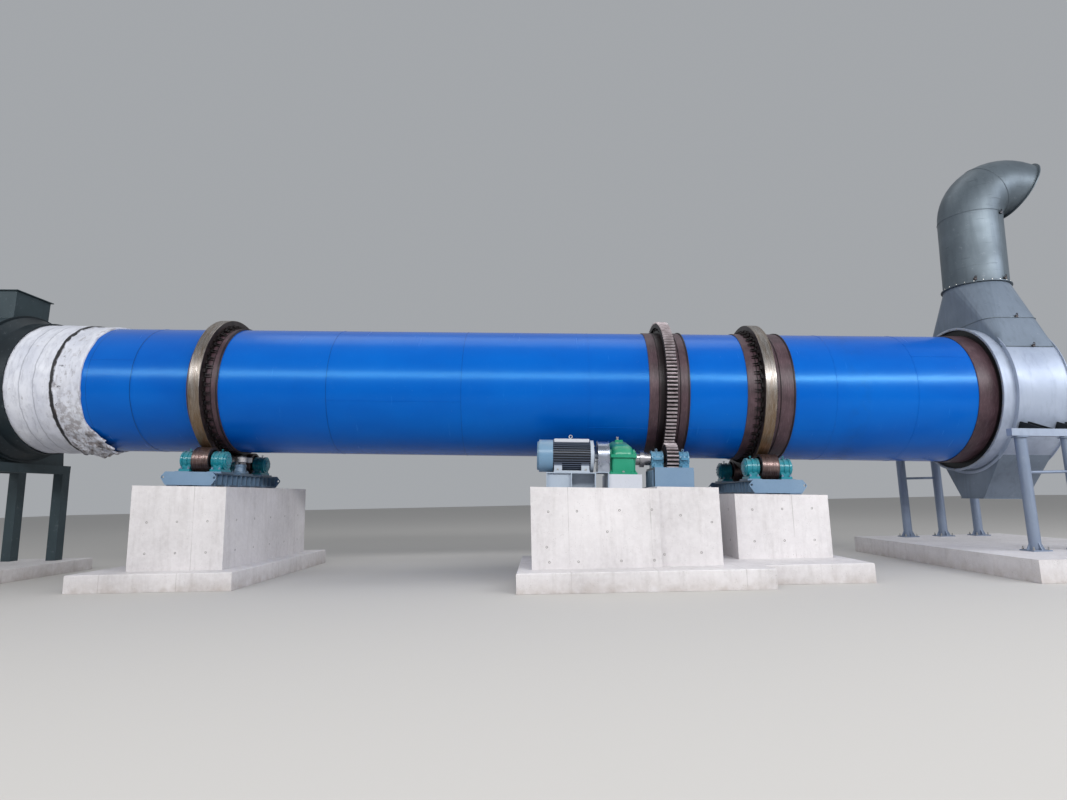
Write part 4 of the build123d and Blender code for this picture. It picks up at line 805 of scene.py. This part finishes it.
# Tie holes of the formwork, sunk cones filled with dark mortar
MOTOR_TIES = ((6150, 1115), (6577, 1115), (7208, 1115), (7690, 1115), (7017, 806), (6117, 602),
              (6150, 383), (6577, 383), (7208, 383), (7690, 383))
PINION_TIES = ((8130, 1020), (8590, 910), (7860, 455), (8410, 470))
PIER_HALF, PIER_TIE_HEIGHTS = 1742, (560, 1060)
ties = [(Vector((x, -2620, z)), -ACROSS) for x, z in MOTOR_TIES]
ties += [(Vector((x, -2520, z)), -ACROSS) for x, z in PINION_TIES]
for pier_start, pier_end in ((-700, 870), (9190, 10690)):
    for z in PIER_TIE_HEIGHTS:
        ties += [(Vector((pier_start + (pier_end - pier_start) * share, -PIER_HALF, z)), -ACROSS)
                 for share in (0.18, 0.5, 0.82)]
        for x, away in ((pier_start, -LEVEL[0]), (pier_end, LEVEL[0])):
            ties += [(Vector((x, row * PIER_HALF / 2.6, z)), away) for row in (-2, -1, 0, 1, 2)]
plugs = Piece()
for place, axis in ties:
    plugs.turned(place - axis * 2, axis, [(0, 17), (2.4, 17), (2.6, 12), (1.2, 9)], 14)
plugs.made("tie_hole_plugs", tie_mortar, "concrete")

# Discharge hood and duct
def rim(piece, at, width, inner, outer):
    """A flat ring of this width round the drum axis."""
    piece.turned(station(at), ALONG, [(0, inner), (0, outer), (width, outer), (width, inner)], 160,
                 closed=True)


def transition_loop(rise):
    """Outline of the square-to-round transition at this rise."""
    share = (rise - TRANSITION_RISE) / (DUCT_RISE - TRANSITION_RISE)
    loop = []
    for quarter, (a, b) in enumerate(((1, 1), (-1, 1), (-1, -1), (1, -1))):
        for step in range(9):
            turn = tau * (8 * quarter + step) / 32
            x = (1 - share) * a * (HOOD_END - HOOD_START) / 2 + share * DUCT_RADIUS * cos(turn)
            y = (1 - share) * b * TRANSITION_HALF + share * DUCT_RADIUS * sin(turn)
            loop.append(station(HOOD_MIDDLE + x, y, rise))
    return loop


def flat_seam(piece, rise, out, high):
    """A flange strip around the transition."""
    middle = station(HOOD_MIDDLE, 0, rise)
    rings = []
    for reach_out, lift in ((-4, 0), (out, 0), (out, high), (-4, high)):
        rings.append([point + (point - middle).normalized() * reach_out + UP * lift
                      for point in transition_loop(rise)])
    piece.skin(rings + [rings[0]], caps=False)


hood_rims = Piece()
for at in (HOOD_START, HOOD_END):
    rim(hood_rims, at - 6, 12, 1380, 1428)
rim(hood_rims, COLLAR_FACE, 14, 1330, 1372)
hood_rims.made("hood_rims", hood_paint, "hood_grey", bevel=2)

seams = Piece()
flat_seam(seams, TRANSITION_RISE + 2, 16, 12)
flat_seam(seams, 1375, 12, 10)
seams.hoop(station(HOOD_MIDDLE, 0, ELBOW_RISE - 4), UP, DUCT_RADIUS + 1, 7, sides=72)
elbow_foot = station(HOOD_MIDDLE, 0, ELBOW_RISE)
half_turn = radians(57.5)
mitre = elbow_foot + ALONG * ELBOW_BEND * (1 - cos(half_turn)) + UP * ELBOW_BEND * sin(half_turn)
seams.hoop(mitre, UP * cos(half_turn) + ALONG * sin(half_turn), DUCT_RADIUS + 1, 6, sides=72)
weld_turn = radians(-68)
weld = station(HOOD_MIDDLE) + (ALONG * cos(weld_turn) + ACROSS * sin(weld_turn)) * (DUCT_RADIUS + 1)
seams.rod(weld + UP * (DUCT_RISE + 20), weld + UP * (ELBOW_RISE - 8), 4, 6)
seams.made("duct_seams", duct_paint, "hood_grey", bevel=2)

lugs = Piece()
for at, across, rise in ((HOOD_MIDDLE + 65, -TRANSITION_HALF - 10, TRANSITION_RISE + 20),
                         (HOOD_MIDDLE + 30, -915, 1398), (HOOD_MIDDLE + 190, -540, DUCT_RISE + 60),
                         (HOOD_MIDDLE - 330, -465, DUCT_RISE + 60),
                         (HOOD_MIDDLE + 260, -506, ELBOW_RISE - 60)):
    lugs.block(station(at, across, rise), (46, 40, 40), DECK)
    lugs.hoop(station(at, across - 18, rise + 34), ALONG, 20, 7, sides=20)
lugs.made("lifting_lugs", black_bolt, "hood_grey", bevel=3)

duct_bolts = Piece()
duct_bolts.bolts(station(HOOD_MIDDLE, 0, DUCT_RISE + 16), 571, 24, UP, 20, stub=0.5, plane=(ALONG, ACROSS))
duct_bolts.bolts(station(COLLAR_FACE), 1352, 40, -ALONG, 16)
duct_bolts.made("duct_flange_bolts", zinc_bolt, "coupling_steel")

post_trim, post_bolts = Piece(), Piece()
for side in (-1, 1):
    for x in HOOD_POSTS:
        foot = Vector((x, side * POST_ACROSS, SLAB_TOP))
        for a, b in CORNERS:
            post_bolts.bolt(foot + Vector((a * 115, b * 115, 0)), LEVEL[2], 30, stub=1.0)
        for k in range(4):
            arm = Vector((cos(tau * k / 4), sin(tau * k / 4), 0))
            post_trim.plate([foot + arm * 80, foot + arm * 142, foot + arm * 84 + LEVEL[2] * 120],
                            arm.cross(LEVEL[2]) * 10)
        top = AXIS_HEIGHT + (-880 - x * sin(SLOPE)) / cos(SLOPE)
        post_trim.turned(Vector((x, side * POST_ACROSS, top - 26)), LEVEL[2], [(0, 120), (16, 120)], 24)
post_trim.made("post_gussets", post_paint, "hood_grey")
post_bolts.made("post_anchor_bolts", zinc_bolt, "coupling_steel")

# Feed hood
feed_trim = Piece()
for at in (FEED_START - 6, FEED_END - 14):
    rim(feed_trim, at, 14, 1396, 1440)
feed_trim.made("feed_hood_rims", seal_paint, "hood_grey", bevel=2)
feed_bolts = Piece()
feed_bolts.bolts(station(SHELL_START + 300), 1276, 48, ALONG, 15)
feed_bolts.made("seal_bolts", black_bolt, "coupling_steel")

# Stage, lights and camera
floor_finish, floor_tree, floor_shader, floor_place = begin("pale_floor", 0.9)
floor_shader.inputs["Base Color"].default_value = shade("#c2bfbb")
floor_data = bpy.data.meshes.new("floor")
corners = [(x, y, -0.002) for x, y in ((-70, -70), (80, -70), (80, 90), (-70, 90))]
floor_data.from_pydata(corners, [], [(0, 1, 2, 3)])
floor_data.materials.append(floor_finish)
floor = bpy.data.objects.new("floor", floor_data)
bpy.context.scene.collection.objects.link(floor)

world = bpy.data.worlds.new("soft_studio")
bpy.context.scene.world = world
world.use_nodes = True
sky = world.node_tree.nodes["Background"]
sky.inputs["Color"].default_value = shade("#dfe3e8")
sky.inputs["Strength"].default_value = 0.5


def lamp(name, place, target, width, height, power, colour):
    """An oblong lamp that looks at its target."""
    data = bpy.data.lights.new(name, "AREA")
    data.shape, data.size, data.size_y = "RECTANGLE", width, height
    data.energy, data.color = power, shade(colour)[:3]
    made = bpy.data.objects.new(name, data)
    made.location = place
    made.rotation_mode = "QUATERNION"
    made.rotation_quaternion = (Vector(target) - Vector(place)).to_track_quat("-Z", "Y")
    bpy.context.scene.collection.objects.link(made)


lamp("key_lamp", (6.0, -17.0, 10.8), (6.0, -1.2, 3.2), 44.0, 2.8, 3900, "#ffffff")
lamp("side_lamp", (21.0, -17.0, 10.9), (11.0, -1.2, 3.2), 12.0, 1.2, 800, "#ffffff")
lamp("fill_lamp", (26.0, -9.0, 9.0), (14.5, 0.0, 3.5), 6.0, 6.0, 700, "#eef3ff")
lamp("top_lamp", (5.0, 3.0, 20.0), (5.0, 0.0, 3.0), 22.0, 8.0, 600, "#ffffff")

# The camera fitted to the photo, its focal length in the photo's pixels
CAMERA_AT = Vector((6.0747, -12.0447, 1.3403))
PITCH, ROLL, YAW = radians(8.8124), radians(-1.2385), radians(-0.6498)
FOCAL, PHOTO_WIDTH, SENSOR = 624.032, 1067, 36
forward = Vector((sin(YAW) * cos(PITCH), cos(YAW) * cos(PITCH), sin(PITCH)))
level_right = forward.cross(LEVEL[2]).normalized()
level_up = level_right.cross(forward)
right = level_right * cos(ROLL) + level_up * sin(ROLL)
top = level_up * cos(ROLL) - level_right * sin(ROLL)
camera_data = bpy.data.cameras.new("photo_view")
camera_data.sensor_width = SENSOR
camera_data.lens = FOCAL * SENSOR / PHOTO_WIDTH
camera_data.clip_end = 500
camera = bpy.data.objects.new("photo_view", camera_data)
bpy.context.scene.collection.objects.link(camera)
rows = [(right[i], top[i], -forward[i], CAMERA_AT[i]) for i in range(3)]
camera.matrix_world = Matrix(rows + [(0, 0, 0, 1)])
bpy.context.scene.camera = camera
bpy.context.scene.view_settings.view_transform = "Standard"
